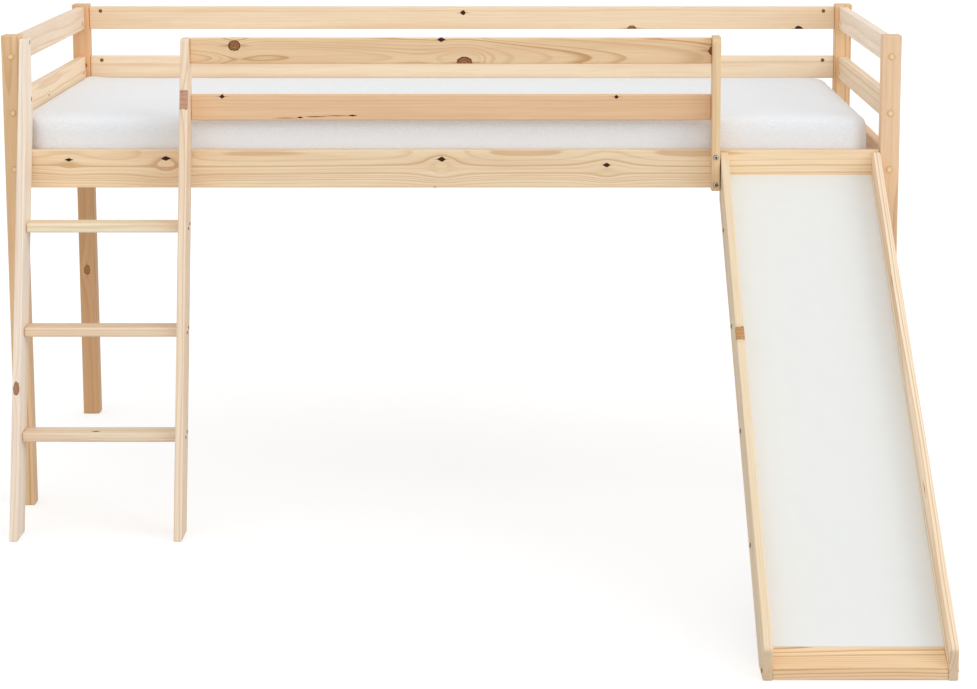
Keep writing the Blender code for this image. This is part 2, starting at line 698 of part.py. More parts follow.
def guard(ladder_side, ladder_x, front_rail):
    """Two boards between the ladder and a short post that is notched over the front rail."""
    ladder_face = ladder_x + SIDE_THICK
    post_x = POST_INNER_X - SEAT_GAP - SLIDE_WIDTH - SLIDE_GAP - SIDE_THICK
    post_front = RAIL_FRONT_Y - GUARD_POST_REACH
    notch_y = RAIL_FRONT_Y - SEAT_GAP
    notch_z = RAIL_TOP + SEAT_GAP
    foot_z = RAIL_BOTTOM - GUARD_POST_DROP
    head_z = BOARD_TOP + GUARD_POST_HEAD
    corners = (
        (post_front, foot_z, 0),
        (notch_y, foot_z, 0),
        (notch_y, notch_z, 0),
        (RAIL_INNER_Y, notch_z, 0),
        (RAIL_INNER_Y, head_z, 0),
        (post_front, head_z, GUARD_POST_ROUND),
    )
    post = plate("guard_post", corners, post_x, SIDE_THICK)
    round_edges(post, EDGE_ROUND / 2, 2)

    to_ladder = []
    to_post = []
    for level, bottom in UPPER_LEVELS:
        board = block(
            f"guard_board_{level}",
            (ladder_face + SEAT_GAP, RAIL_FRONT_Y, bottom),
            (post_x - SEAT_GAP, RAIL_INNER_Y, bottom + BOARD_WIDTH),
        )
        middle = Vector((0, RAIL_CENTRE_Y, bottom + BOARD_WIDTH / 2))
        left = facing(-X_AXIS, middle + X_AXIS * ladder_x)
        right = facing(X_AXIS, middle + X_AXIS * (post_x + SIDE_THICK))
        cut(board, GUARD_BORE, [left, right], "bores")
        joinery.nut(board, X_AXIS, middle + X_AXIS * (ladder_face + SEAT_GAP + NUT_INSET), Y_AXIS)
        joinery.nut(board, X_AXIS, middle + X_AXIS * (post_x - SEAT_GAP - NUT_INSET), Y_AXIS)
        to_ladder.append(left)
        to_post.append(right)
        fastener(f"guard_bolt_ladder_{level}", GUARD_BOLT, left)
        fastener(f"guard_bolt_post_{level}", GUARD_BOLT, right)
    cut(ladder_side, GUARD_BORE, to_ladder, "guard_bores")
    cut(post, GUARD_BORE, to_post, "guard_bores")

    to_rail = []
    sleeves = []
    for level, way in (("lower", -1), ("upper", 1)):
        height = RAIL_MIDDLE + way * GUARD_BOLT_SPREAD / 2
        centre_x = post_x + SIDE_THICK / 2
        seat = facing(-Y_AXIS, Vector((centre_x, post_front, height)))
        fastener(f"guard_post_bolt_{level}", GUARD_BOLT, seat)
        to_rail.append(seat)
        sleeves.append(facing(Y_AXIS, Vector((centre_x, RAIL_INNER_Y, height))))
    cut(post, GUARD_BORE, to_rail, "rail_bores")
    cut(front_rail, GUARD_BORE, to_rail, "guard_bores")
    cut(front_rail, SLEEVE_HOLE, sleeves, "sleeves")


def slide(front_rail):
    """Two grooved cheeks, the sliding panel, the battens under it and the board at its foot."""
    rise = math.atan2(RAIL_TOP - CHEEK_FOOT_HEIGHT, SLIDE_REACH + SETBACK)
    plumb = math.pi / 2
    foot_y = FRONT_Y - SLIDE_REACH
    head_y = RAIL_FRONT_Y - SEAT_GAP
    top = Vector((RAIL_FRONT_Y, RAIL_TOP))
    floor = Vector((foot_y, 0))

    def below(point, distance):
        """A point of the line that lies the given distance under the slope through the point."""
        return point - Vector((0, distance / math.cos(rise)))

    head_top = crossing(top, rise, Vector((head_y, 0)), plumb)
    head_low = below(head_top, CHEEK_WIDTH)
    heel = crossing(head_low, rise, floor, 0)
    cheek_corners = (
        (*floor, 0),
        (*heel, 0),
        (*head_low, 0),
        (*head_top, CHEEK_HEAD_ROUND),
        (foot_y, CHEEK_FOOT_HEIGHT, CHEEK_FOOT_ROUND),
    )

    slope = FOOT_BOARD_SLOPE
    face_y = foot_y + FOOT_BOARD_RECESS
    toe = Vector((face_y, FOOT_BOARD_LIFT))
    brow = toe + Vector((0, BOARD_THICK / math.cos(slope)))
    panel_top = below(head_top, PANEL_DROP)
    panel_low = below(head_top, PANEL_DROP + PANEL_THICK)
    joint = crossing(brow, slope, panel_top, rise)
    joint_low = joint + Vector((math.sin(slope), -math.cos(slope))) * BOARD_THICK
    foot_corners = ((*toe, 0), (*joint_low, 0), (*joint, 0), (*brow, 0))

    butt = joint + Vector((math.cos(slope), math.sin(slope))) * SEAT_GAP
    panel_corners = (
        (*panel_top, 0),
        (*crossing(panel_top, rise, butt, slope - plumb), 0),
        (*crossing(panel_low, rise, butt, slope - plumb), 0),
        (*panel_low, 0),
    )
    past_head = Vector((head_y + OVERRUN, 0))
    groove_top = below(panel_top, -SEAT_GAP)
    groove_low = below(panel_low, SEAT_GAP)
    groove_corners = (
        (*crossing(groove_top, rise, past_head, plumb), 0),
        (*crossing(groove_top, rise, joint, slope - plumb), 0),
        (*crossing(groove_low, rise, joint, slope - plumb), 0),
        (*crossing(groove_low, rise, past_head, plumb), 0),
    )

    right_x = POST_INNER_X - SEAT_GAP
    left_x = right_x - SLIDE_WIDTH
    inner_left = left_x + SIDE_THICK
    inner_right = right_x - SIDE_THICK
    cheeks = {}
    for side, sign, outer_x, inner_x in (
        ("left", -1, left_x, inner_left), ("right", 1, right_x, inner_right)
    ):
        cheek = plate(f"slide_cheek_{side}", cheek_corners, min(outer_x, inner_x), SIDE_THICK)
        round_edges(cheek, EDGE_ROUND, 2)
        depth = GROOVE_DEPTH + OVERRUN
        groove_x = inner_x - OVERRUN if sign > 0 else inner_x - GROOVE_DEPTH
        groove = plate(
            f"slide_groove_{side}_cutter", groove_corners, groove_x, depth, collection=CUTTERS
        )
        combine(cheek, groove, "DIFFERENCE", "groove")
        cheeks[side] = cheek

    panel_room = GROOVE_DEPTH - SEAT_GAP
    plate(
        "slide_panel", panel_corners, inner_left - panel_room,
        inner_right - inner_left + 2 * panel_room, WHITE_PANEL,
    )
    foot_board = plate(
        "slide_foot_board", foot_corners, inner_left + SEAT_GAP,
        inner_right - inner_left - 2 * SEAT_GAP,
    )
    round_edges(foot_board, EDGE_ROUND / 2, 2)

    screws = {side: [] for side, sign in SIDES}

    def screw_both_ends(piece, point):
        """Screw a cross piece to both cheeks at a point of the YZ plane."""
        places = []
        for side, sign, face_x in (("left", -1, left_x), ("right", 1, right_x)):
            place = facing(sign * X_AXIS, Vector((face_x, *point)))
            screws[side].append(place)
            places.append(place)
        cut(piece, SLIDE_SCREW_BORE, places, "screws")

    first_y = RAIL_FRONT_Y - BATTEN_HEAD_ROOM
    last_y = foot_y + BATTEN_FOOT_ROOM
    under = below(head_top, PANEL_DROP + PANEL_THICK + SEAT_GAP + BATTEN_THICK / 2)
    half = Vector(((inner_right - inner_left) / 2 - SEAT_GAP, BATTEN_WIDTH / 2, BATTEN_THICK / 2))
    for index in range(BATTEN_COUNT):
        y = first_y + (last_y - first_y) * index / (BATTEN_COUNT - 1)
        middle = crossing(under, rise, Vector((y, 0)), plumb)
        batten = block(f"slide_batten_{index + 1}", -half, half, steps=1)
        batten.location = ((inner_left + inner_right) / 2, *middle)
        batten.rotation_euler.x = rise
        screw_both_ends(batten, middle)
    foot_screw = (toe + brow) / 2 + Vector((1, math.tan(slope))) * FOOT_SCREW_INSET
    screw_both_ends(foot_board, foot_screw)
    for side, places in screws.items():
        cut(cheeks[side], SLIDE_SCREW_BORE, places, "screws")

    seats = []
    for side, sign, centre_x in (
        ("left", -1, left_x + SIDE_THICK / 2), ("right", 1, right_x - SIDE_THICK / 2)
    ):
        seat = facing(Y_AXIS, Vector((centre_x, RAIL_INNER_Y - SLIDE_BOLT_RECESS, RAIL_MIDDLE)))
        cut(cheeks[side], GUARD_BORE, [seat], "rail_bore")
        nut = Vector((centre_x, head_y - NUT_INSET, RAIL_MIDDLE))
        joinery.nut(cheeks[side], Y_AXIS, nut, sign * X_AXIS)
        fastener(f"slide_bolt_{side}", GUARD_BOLT, seat)
        seats.append(seat)
    cut(front_rail, GUARD_BORE, seats, "slide_bores")
    cut(front_rail, HEAD_RECESS, seats, "slide_recesses")


def build():
    """Make the bed from the posts inwards, then cut the frame's holes and set its plugs."""
    posts = corner_posts()
    end_boards(posts)
    front_rail = long_boards(posts)
    slatted_base()
    mattress()
    ladder_side, ladder_x = ladder(posts)
    guard(ladder_side, ladder_x, front_rail)
    slide(front_rail)
    joinery.make_all()


build()
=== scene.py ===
# %% [markdown]
# # A mid-sleeper bed in pine, with a ladder and a slide
#
# The bed's solids come ready made from the frame, in metres, with X along the bed, Y towards the wall and Z
# up. This script gives every one of them a finish, lays a soft mattress on the slats, adds the small fittings
# that the solids leave out, and sets up the floor, the lamps and the camera.

# %% The frame
import math

import bpy
import numpy as np
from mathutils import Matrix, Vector


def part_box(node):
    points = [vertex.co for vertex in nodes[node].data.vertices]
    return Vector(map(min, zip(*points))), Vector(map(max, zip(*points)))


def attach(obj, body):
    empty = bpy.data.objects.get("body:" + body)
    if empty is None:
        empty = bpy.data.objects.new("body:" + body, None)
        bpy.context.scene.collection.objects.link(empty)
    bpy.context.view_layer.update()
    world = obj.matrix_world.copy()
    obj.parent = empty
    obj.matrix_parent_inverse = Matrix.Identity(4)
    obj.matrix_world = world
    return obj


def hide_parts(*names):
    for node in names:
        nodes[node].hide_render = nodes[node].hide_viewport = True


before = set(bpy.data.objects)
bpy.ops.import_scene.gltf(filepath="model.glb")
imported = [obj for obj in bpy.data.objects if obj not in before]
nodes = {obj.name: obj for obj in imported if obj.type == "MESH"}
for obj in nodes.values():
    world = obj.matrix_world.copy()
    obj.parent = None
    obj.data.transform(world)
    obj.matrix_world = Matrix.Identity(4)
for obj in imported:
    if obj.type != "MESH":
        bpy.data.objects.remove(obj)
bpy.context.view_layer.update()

# %% [markdown]
# ## Measures
#
# The small fittings have to sit where the holes of the solids are. Their places could be typed in, but a
# change of size would then leave them behind, so two helpers read them from the boxes of the solids.


# %% Measures from the frame
def edges(name, axis):
    """Where a solid begins and ends along X, Y or Z, to a tenth of a millimetre."""
    return tuple(round(float(corner["XYZ".index(axis)]), 4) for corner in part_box(name))


def centre(name, axis):
    """The middle of a solid along X, Y or Z."""
    return sum(edges(name, axis)) / 2


print("the front rail reaches from", *edges("side_rail_front", "X"))

# %% [markdown]
# ## Camera
#
# A photographer stands well back from a bed, so that its front edge and its back edge look almost alike in
# size. The lens is long for that reason. The camera stands half a metre above the top of the posts and looks
# down by nine degrees, and the lens is shifted a little, which keeps the posts nearly upright without cutting
# off the foot of the slide.

# %% The camera
SENSOR, LENS = 36.0, 93.494
LENS_SHIFT = (-0.0415, -0.12)
CAMERA_PLACE = (0.18102, -5.77206, 1.65756)
LOOK_DOWN = math.radians(9.429)

camera_data = bpy.data.cameras.new("camera")
camera_data.sensor_width = SENSOR
camera_data.lens = LENS
camera_data.shift_x, camera_data.shift_y = LENS_SHIFT
camera = bpy.data.objects.new("camera", camera_data)
camera.location = CAMERA_PLACE
camera.rotation_euler = (math.radians(90) - LOOK_DOWN, 0, 0)
bpy.context.scene.collection.objects.link(camera)
bpy.context.scene.camera = camera
print("camera", [round(step, 3) for step in camera.location])

# %% [markdown]
# ## Wiring materials
#
# A material is a graph of nodes. It could be wired by hand, one line for every link, but a few helpers keep
# the graphs short enough to read. The first adds a node and links or sets its inputs in order, and the next
# ones do sums, noise, mixed colours and relief. The last turns a colour as a paint chart gives it, in steps
# from 0 to 255, into the linear numbers that the renderer counts in.


# %% Helpers for node graphs
def add(tree, kind, *sources, **settings):
    """A new node. Each source goes into the input of the same number: a socket is linked, a value is set."""
    made = tree.nodes.new("ShaderNode" + kind)
    for name, value in settings.items():
        setattr(made, name, value)
    for slot, source in enumerate(sources):
        feed(tree, made.inputs[slot], source)
    return made


def feed(tree, socket, source):
    """Links a socket to a source that is a socket too, or sets it to a plain value. None leaves it be."""
    if isinstance(source, bpy.types.NodeSocket):
        tree.links.new(source, socket)
    elif source is not None:
        socket.default_value = source


def sum_of(tree, operation, *terms):
    """The result of one arithmetic node."""
    return add(tree, "Math", *terms, operation=operation).outputs[0]


def arrow(tree, operation, *terms):
    """The result of one vector arithmetic node: a number for LENGTH and DOT_PRODUCT, otherwise a vector."""
    made = add(tree, "VectorMath", *terms, operation=operation)
    return made.outputs["Value" if operation in ("LENGTH", "DOT_PRODUCT") else "Vector"]


def ease(tree, value, low, high, bottom=0.0, top=1.0):
    """Goes smoothly from bottom, where the value is low, to top, where it is high."""
    return add(tree, "MapRange", value, low, high, bottom, top, interpolation_type="SMOOTHSTEP").outputs[0]


def noise(tree, place, scale, detail, roughness, seed=None):
    """The outputs of soft noise between 0 and 1. A seed picks one of many such clouds."""
    ways = "3D" if seed is None else "4D"
    return add(tree, "TexNoise", place, seed, scale, detail, roughness, noise_dimensions=ways).outputs


def colours(tree, share, first, second):
    """The first colour where the share is 0 and the second where it is 1."""
    made = tree.nodes.new("ShaderNodeMix")
    made.data_type = "RGBA"
    for slot, source in ((0, share), (6, first), (7, second)):
        feed(tree, made.inputs[slot], source)
    return made.outputs[2]


def relief(tree, height, strength, depth):
    """Gives the tree's shader dents that follow the height, and are as deep as depth at full strength."""
    bump = add(tree, "Bump")
    bump.inputs["Strength"].default_value = strength
    bump.inputs["Distance"].default_value = depth
    feed(tree, bump.inputs["Height"], height)
    feed(tree, tree.nodes["Principled BSDF"].inputs["Normal"], bump.outputs[0])


def paint(red, green, blue):
    """A paint chart's colour as linear numbers: each step over 255, raised to the screen's curve."""
    steps = np.array([red, green, blue]) / 255
    linear = np.where(steps <= 0.04045, steps / 12.92, ((steps + 0.055) / 1.055) ** 2.4)
    return (*map(float, linear), 1.0)


print("white is", paint(255, 255, 255))

# %% [markdown]
# ## Pine
#
# A board is a slice of a trunk. The trunk's rings are tubes round its heart, so the lines on a board depend
# only on where the slice lay: far from the heart they run straight and close, and near it they open into
# long arches. A picture of wood can't do that on six faces at once. Working out how far each point lies from
# the heart can, and it gives the right end grain as well.
#
# The first group does that. It takes a point in the board's own directions, X along the grain, and gives the
# dark late wood of each ring, the fine fibres and the broad changes of tone.


# %% A group and its sockets
def new_group(name, inputs, outputs):
    """An empty node group, with the sockets that go into it and the sockets that come out of it."""
    tree = bpy.data.node_groups.new(name, "ShaderNodeTree")
    for label, kind, value in inputs:
        socket = tree.interface.new_socket(label, in_out="INPUT", socket_type="NodeSocket" + kind)
        socket.default_value = value
    for label in outputs:
        tree.interface.new_socket(label, in_out="OUTPUT", socket_type="NodeSocketFloat")
    return tree, tree.nodes.new("NodeGroupInput").outputs, tree.nodes.new("NodeGroupOutput").inputs


def use_group(tree, group, *sources):
    """The outputs of a group placed in a material."""
    made = tree.nodes.new("ShaderNodeGroup")
    made.node_tree = group
    for slot, source in enumerate(sources):
        feed(tree, made.inputs[slot], source)
    return made.outputs


# %% The rings of the trunk
WANDERS, TONES, FIBRES = (1.3, 4.0, 4.0), (1.6, 22.0, 22.0), (9.0, 520.0, 520.0)
TONES_SEED = 31.0


def make_grain():
    """Ring = how far round its cycle the distance from the heart is; that distance wanders slowly along the
    board and swells at a knot. Late wood grows over most of the cycle and ends at once. Wanders, tones and
    fibres say how often each pattern repeats in a metre, along the grain and across it."""
    tree, into, out = new_group(
        "pine grain",
        (
            ("Vector", "Vector", (0, 0, 0)),
            ("Seed", "Float", 0.0),
            ("Heart", "Vector", (0, 0.06, 0)),
            ("Lean", "Vector", (0, 0, 0)),
            ("Ring Width", "Float", 0.005),
            ("Waver", "Float", 0.02),
            ("Swirl", "Float", 0.0),
        ),
        ("Ring", "Fibre", "Tone"),
    )
    spot, seed = into["Vector"], into["Seed"]
    slow = noise(tree, arrow(tree, "MULTIPLY", spot, WANDERS), 1.0, 2.0, 0.45, seed)["Color"]
    wander = add(tree, "VectorMath", arrow(tree, "SUBTRACT", slow, (0.5, 0.5, 0.5)), operation="SCALE")
    feed(tree, wander.inputs["Scale"], into["Waver"])
    along = add(tree, "SeparateXYZ", spot).outputs[0]
    leaning = add(tree, "VectorMath", into["Lean"], operation="SCALE")
    feed(tree, leaning.inputs["Scale"], along)
    heart = arrow(tree, "ADD", into["Heart"], leaning.outputs[0])
    lying = arrow(tree, "ADD", arrow(tree, "SUBTRACT", spot, heart), wander.outputs[0])
    reach = arrow(tree, "LENGTH", arrow(tree, "MULTIPLY", lying, (0, 1, 1)))
    swollen = sum_of(tree, "ADD", reach, into["Swirl"])
    years = sum_of(tree, "DIVIDE", swollen, into["Ring Width"])
    uneven = add(tree, "TexNoise", None, sum_of(tree, "MULTIPLY_ADD", years, 0.35, seed), 1.0, 1.0,
                 noise_dimensions="1D").outputs[0]
    age = sum_of(tree, "ADD", years, sum_of(tree, "MULTIPLY", uneven, 2.2))
    season = sum_of(tree, "FRACT", age)
    grown = sum_of(tree, "POWER", ease(tree, season, 0.30, 0.88), 2.2)
    late = sum_of(tree, "MULTIPLY", grown, ease(tree, season, 0.90, 1.0, 1.0, 0.0))
    year = add(tree, "TexWhiteNoise", None, sum_of(tree, "ADD", sum_of(tree, "FLOOR", age), seed),
               noise_dimensions="1D").outputs["Value"]
    feed(tree, out["Ring"], sum_of(tree, "MULTIPLY", late, ease(tree, year, 0.0, 1.0, 0.25, 1.0)))
    fine = arrow(tree, "MULTIPLY", spot, FIBRES)
    feed(tree, out["Fibre"], noise(tree, fine, 1.0, 3.0, 0.6, seed)[0])
    broad = arrow(tree, "MULTIPLY", spot, TONES)
    feed(tree, out["Tone"], noise(tree, broad, 1.0, 2.0, 0.5, sum_of(tree, "ADD", seed, TONES_SEED))[0])
    return tree


GRAIN = make_grain()
print("pine grain:", len(GRAIN.nodes), "nodes")

# %% [markdown]
# ## Knots
#
# A knot is a branch that the trunk grew round. It runs straight out from the heart, so it is a rod through
# the board: a round spot on the face that it crosses. The rings bend round it, and a dark streak follows the
# grain on both sides. The second group takes the spot and the direction of one branch.


# %% The branch in the board
PULL_FADE, PARTING_FADE = -0.42, -0.30
BRANCH_RINGS = 15.0


def make_knot():
    """Distance = the root of along squared plus across squared plus twice point times their product, counted
    in knot sizes: point 0 gives an oval, and point 1 a diamond. Along is the distance along the grain,
    shortened by the stretch. The rings are pulled by pull times the exponential of minus the distance, a
    tent's shape, and they part like water round a stone: part times the height above the parting's middle
    times a wider tent. Dark = the bark at the branch's edge, and inside it as much as asked, with the
    branch's own rings."""
    tree, into, out = new_group(
        "pine knot",
        (
            ("Vector", "Vector", (0, 0, 0)),
            ("Place", "Vector", (0, 0, 0)),
            ("Branch", "Vector", (0, 1, 0)),
            ("Size", "Float", 0.006),
            ("Stretch", "Float", 0.6),
            ("Point", "Float", 0.5),
            ("Pull", "Float", 0.01),
            ("Depth", "Float", 0.8),
            ("Part", "Float", 0.0),
            ("Sag", "Float", 0.0),
            ("Swirl", "Float", 0.0),
            ("Core", "Float", 0.0),
            ("Dark", "Float", 0.0),
            ("Flame", "Float", 0.0),
        ),
        ("Swirl", "Core", "Dark", "Flame"),
    )
    away = arrow(tree, "SUBTRACT", into["Vector"], into["Place"])
    aside = arrow(tree, "SUBTRACT", away, arrow(tree, "PROJECT", away, into["Branch"]))
    sides = add(tree, "SeparateXYZ", aside).outputs
    along = sum_of(tree, "MULTIPLY", sum_of(tree, "ABSOLUTE", sides[0]), into["Stretch"])
    across = arrow(tree, "LENGTH", arrow(tree, "MULTIPLY", aside, (0, 1, 1)))
    squares = sum_of(tree, "MULTIPLY_ADD", along, along, sum_of(tree, "MULTIPLY", across, across))
    crossed = sum_of(tree, "MULTIPLY", sum_of(tree, "MULTIPLY", along, across), into["Point"])
    flat = sum_of(tree, "SQRT", sum_of(tree, "MULTIPLY_ADD", crossed, 2.0, squares))
    count = sum_of(tree, "DIVIDE", flat, into["Size"])
    rough = noise(tree, into["Vector"], 160.0, 2.0, 0.6)[0]
    near = sum_of(tree, "ADD", count, sum_of(tree, "MULTIPLY_ADD", rough, 0.5, -0.25))
    core = ease(tree, near, 0.90, 1.06, 1.0, 0.0)
    rim = sum_of(tree, "MULTIPLY", ease(tree, near, 0.66, 0.90), core)
    wave = sum_of(tree, "SINE", sum_of(tree, "MULTIPLY", near, BRANCH_RINGS))
    rings = sum_of(tree, "MULTIPLY_ADD", wave, 0.28, 0.30)
    inner = sum_of(tree, "MULTIPLY", sum_of(tree, "MAXIMUM", rings, into["Depth"]), core)
    dark = sum_of(tree, "MAXIMUM", inner, sum_of(tree, "MULTIPLY", rim, 0.92))
    tent = sum_of(tree, "EXPONENT", sum_of(tree, "MULTIPLY", count, PULL_FADE))
    above = sum_of(tree, "ADD", sides[2], into["Sag"])
    span = arrow(tree, "LENGTH", add(tree, "CombineXYZ", along, above).outputs[0])
    sizes = sum_of(tree, "DIVIDE", span, into["Size"])
    low_tent = sum_of(tree, "EXPONENT", sum_of(tree, "MULTIPLY", sizes, PARTING_FADE))
    parted = sum_of(tree, "MULTIPLY", sum_of(tree, "MULTIPLY", above, low_tent), into["Part"])
    swirl = sum_of(tree, "MULTIPLY_ADD", tent, into["Pull"], parted)
    thin = arrow(tree, "LENGTH", arrow(tree, "MULTIPLY", aside, (0.22, 2.0, 2.0)))
    flame = ease(tree, sum_of(tree, "DIVIDE", thin, into["Size"]), 0.10, 0.90, 1.0, 0.0)
    for label, mine, way in (
        ("Swirl", swirl, "ADD"), ("Core", core, "MAXIMUM"), ("Dark", dark, "MAXIMUM"),
        ("Flame", flame, "MAXIMUM"),
    ):
        feed(tree, out[label], sum_of(tree, way, into[label], mine))
    return tree


KNOT = make_knot()
print("pine knot:", len(KNOT.nodes), "nodes")

# %% [markdown]
# ## One finish for each board
#
# No two boards of a bed come from the same slice, so each gets its own heart, and those that show most get
# a tone, a ring width and knots of their own. The grain follows the length of the piece: along X on the
# rails, along Y on the end boards and slats, up the posts, and along the slope on the ladder's sides and the
# slide's cheeks. A Mapping node turns the pattern into the board's own directions, measured from its middle.

# %% Directions and tones
ALONG, INWARD, UPRIGHT = Vector((1, 0, 0)), Vector((0, 1, 0)), Vector((0, 0, 1))
LADDER_LEAN, SLIDE_SLOPE = 0.26723, 0.63389
LADDER_RISE = Vector((0, LADDER_LEAN, 1)).normalized()
SLIDE_RISE = Vector((0, 1, SLIDE_SLOPE)).normalized()

PALE = paint(250, 229, 200)
HONEY = paint(250, 222, 182)
ROSY = paint(244, 206, 166)
CREAM = paint(251, 232, 207)
# Deep is a more saturated tan, made darker still as painted shade for the back left post's leg under the bed.
DEEP_SHADED = paint(233, 187, 140)
TAN = paint(245, 209, 165)
IVORY = paint(255, 244, 229)
LATE = paint(200, 148, 92)
BLUSH = paint(226, 178, 134)
END_GRAIN = paint(206, 176, 142)
BARK_BROWN = paint(46, 15, 2)
KNOT_BROWN = paint(172, 112, 64)
lean, slope = (round(math.degrees(math.atan(rise)), 1) for rise in (LADDER_LEAN, SLIDE_SLOPE))
print("the ladder leans", lean, "degrees, and the slide slopes", slope)


def board_frame(name, grain):
    """A board's middle, and the turn that takes X onto its grain."""
    low, high = (Vector(corner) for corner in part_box(name))
    turn = ALONG.rotation_difference(grain).to_matrix()
    return (low + high) / 2, turn


# %% A board's material
SPECK, SMALL_KNOT = 0.0020, 0.0072


def pine(name, grain, seed, tone, heart, ring_width, waver, strength, knots=(), lean=(0, 0, 0),
         knot_tone=KNOT_BROWN, bark=1.0):
    """Base colour = tone, darkened by late wood, warmed by the broad tone, and browned by the knots. The
    heart is measured from the board's middle, and leans by so much for each metre along the board. A knot is
    (place on the bed, branch direction, size, pull, stretch, point, part, sag); the last two may be left out.
    A small knot is dark all through, a speck is half dark, and bark is how dark the knots' rims and rings
    come out."""
    middle, turn = board_frame(name, grain)
    material = bpy.data.materials.new("pine_" + name)
    material.use_nodes = True
    tree = material.node_tree
    shader = tree.nodes["Principled BSDF"]
    coordinates = tree.nodes.new("ShaderNodeTexCoord")
    place = add(tree, "Mapping", coordinates.outputs["Object"], tuple(middle), tuple(turn.to_euler()),
                vector_type="TEXTURE").outputs[0]
    branches = (0.0, 0.0, 0.0, 0.0)
    for spot, branch, size, pull, stretch, point, *parting in knots:
        part, sag = parting or (0.0, 0.0)
        local = tuple(turn.inverted() @ (Vector(spot) - middle))
        outward = tuple(turn.inverted() @ Vector(branch))
        depth = 0.40 if size < SPECK else 0.97 if size < SMALL_KNOT else 0.0
        made = use_group(
            tree, KNOT, place, local, outward, size, stretch, point, pull, depth, part, sag, *branches)
        branches = [made[label] for label in ("Swirl", "Core", "Dark", "Flame")]
    swirl, core, dark, flame = branches
    grown = use_group(tree, GRAIN, place, seed, heart, lean, ring_width, waver, swirl)
    late = sum_of(tree, "MULTIPLY", grown["Ring"], strength)
    wood = colours(tree, late, tone, LATE)
    wood = colours(tree, ease(tree, grown["Tone"], 0.42, 0.78, 0.0, 0.45), wood, BLUSH)
    wood = colours(tree, ease(tree, grown["Fibre"], 0.35, 0.75, 0.0, 0.20), wood, LATE)
    facing = arrow(tree, "DOT_PRODUCT", coordinates.outputs["Normal"], tuple(grain))
    across = ease(tree, sum_of(tree, "ABSOLUTE", facing), 0.55, 0.9, 0.0, 0.55)
    wood = colours(tree, across, wood, END_GRAIN)
    if knots:
        wood = colours(tree, sum_of(tree, "MULTIPLY", flame, 0.65), wood, knot_tone)
        wood = colours(tree, sum_of(tree, "MULTIPLY", core, 0.9), wood, knot_tone)
        wood = colours(tree, sum_of(tree, "MULTIPLY", dark, bark), wood, BARK_BROWN)
    feed(tree, shader.inputs["Base Color"], wood)
    shader.inputs["Specular IOR Level"].default_value = 0.20
    feed(tree, shader.inputs["Roughness"], ease(tree, grown["Fibre"], 0.2, 0.8, 0.44, 0.60))
    relief(tree, sum_of(tree, "MULTIPLY_ADD", grown["Fibre"], 0.6, grown["Ring"]), 0.25, 0.0004)
    return material


def finish_node(name, material):
    """Puts a material in every slot of a solid."""
    for slot in nodes[name].material_slots:
        slot.material = material


# %% Boards chosen for their knots
BED_FRONT, BED_BACK = edges("side_rail_front", "Y")[0], edges("back_board_upper", "Y")[0]
TOWARDS_WALL, TOWARDS_END, SKYWARD = (0, 1, 0), (1, 0, 0), (0, 0, 1)

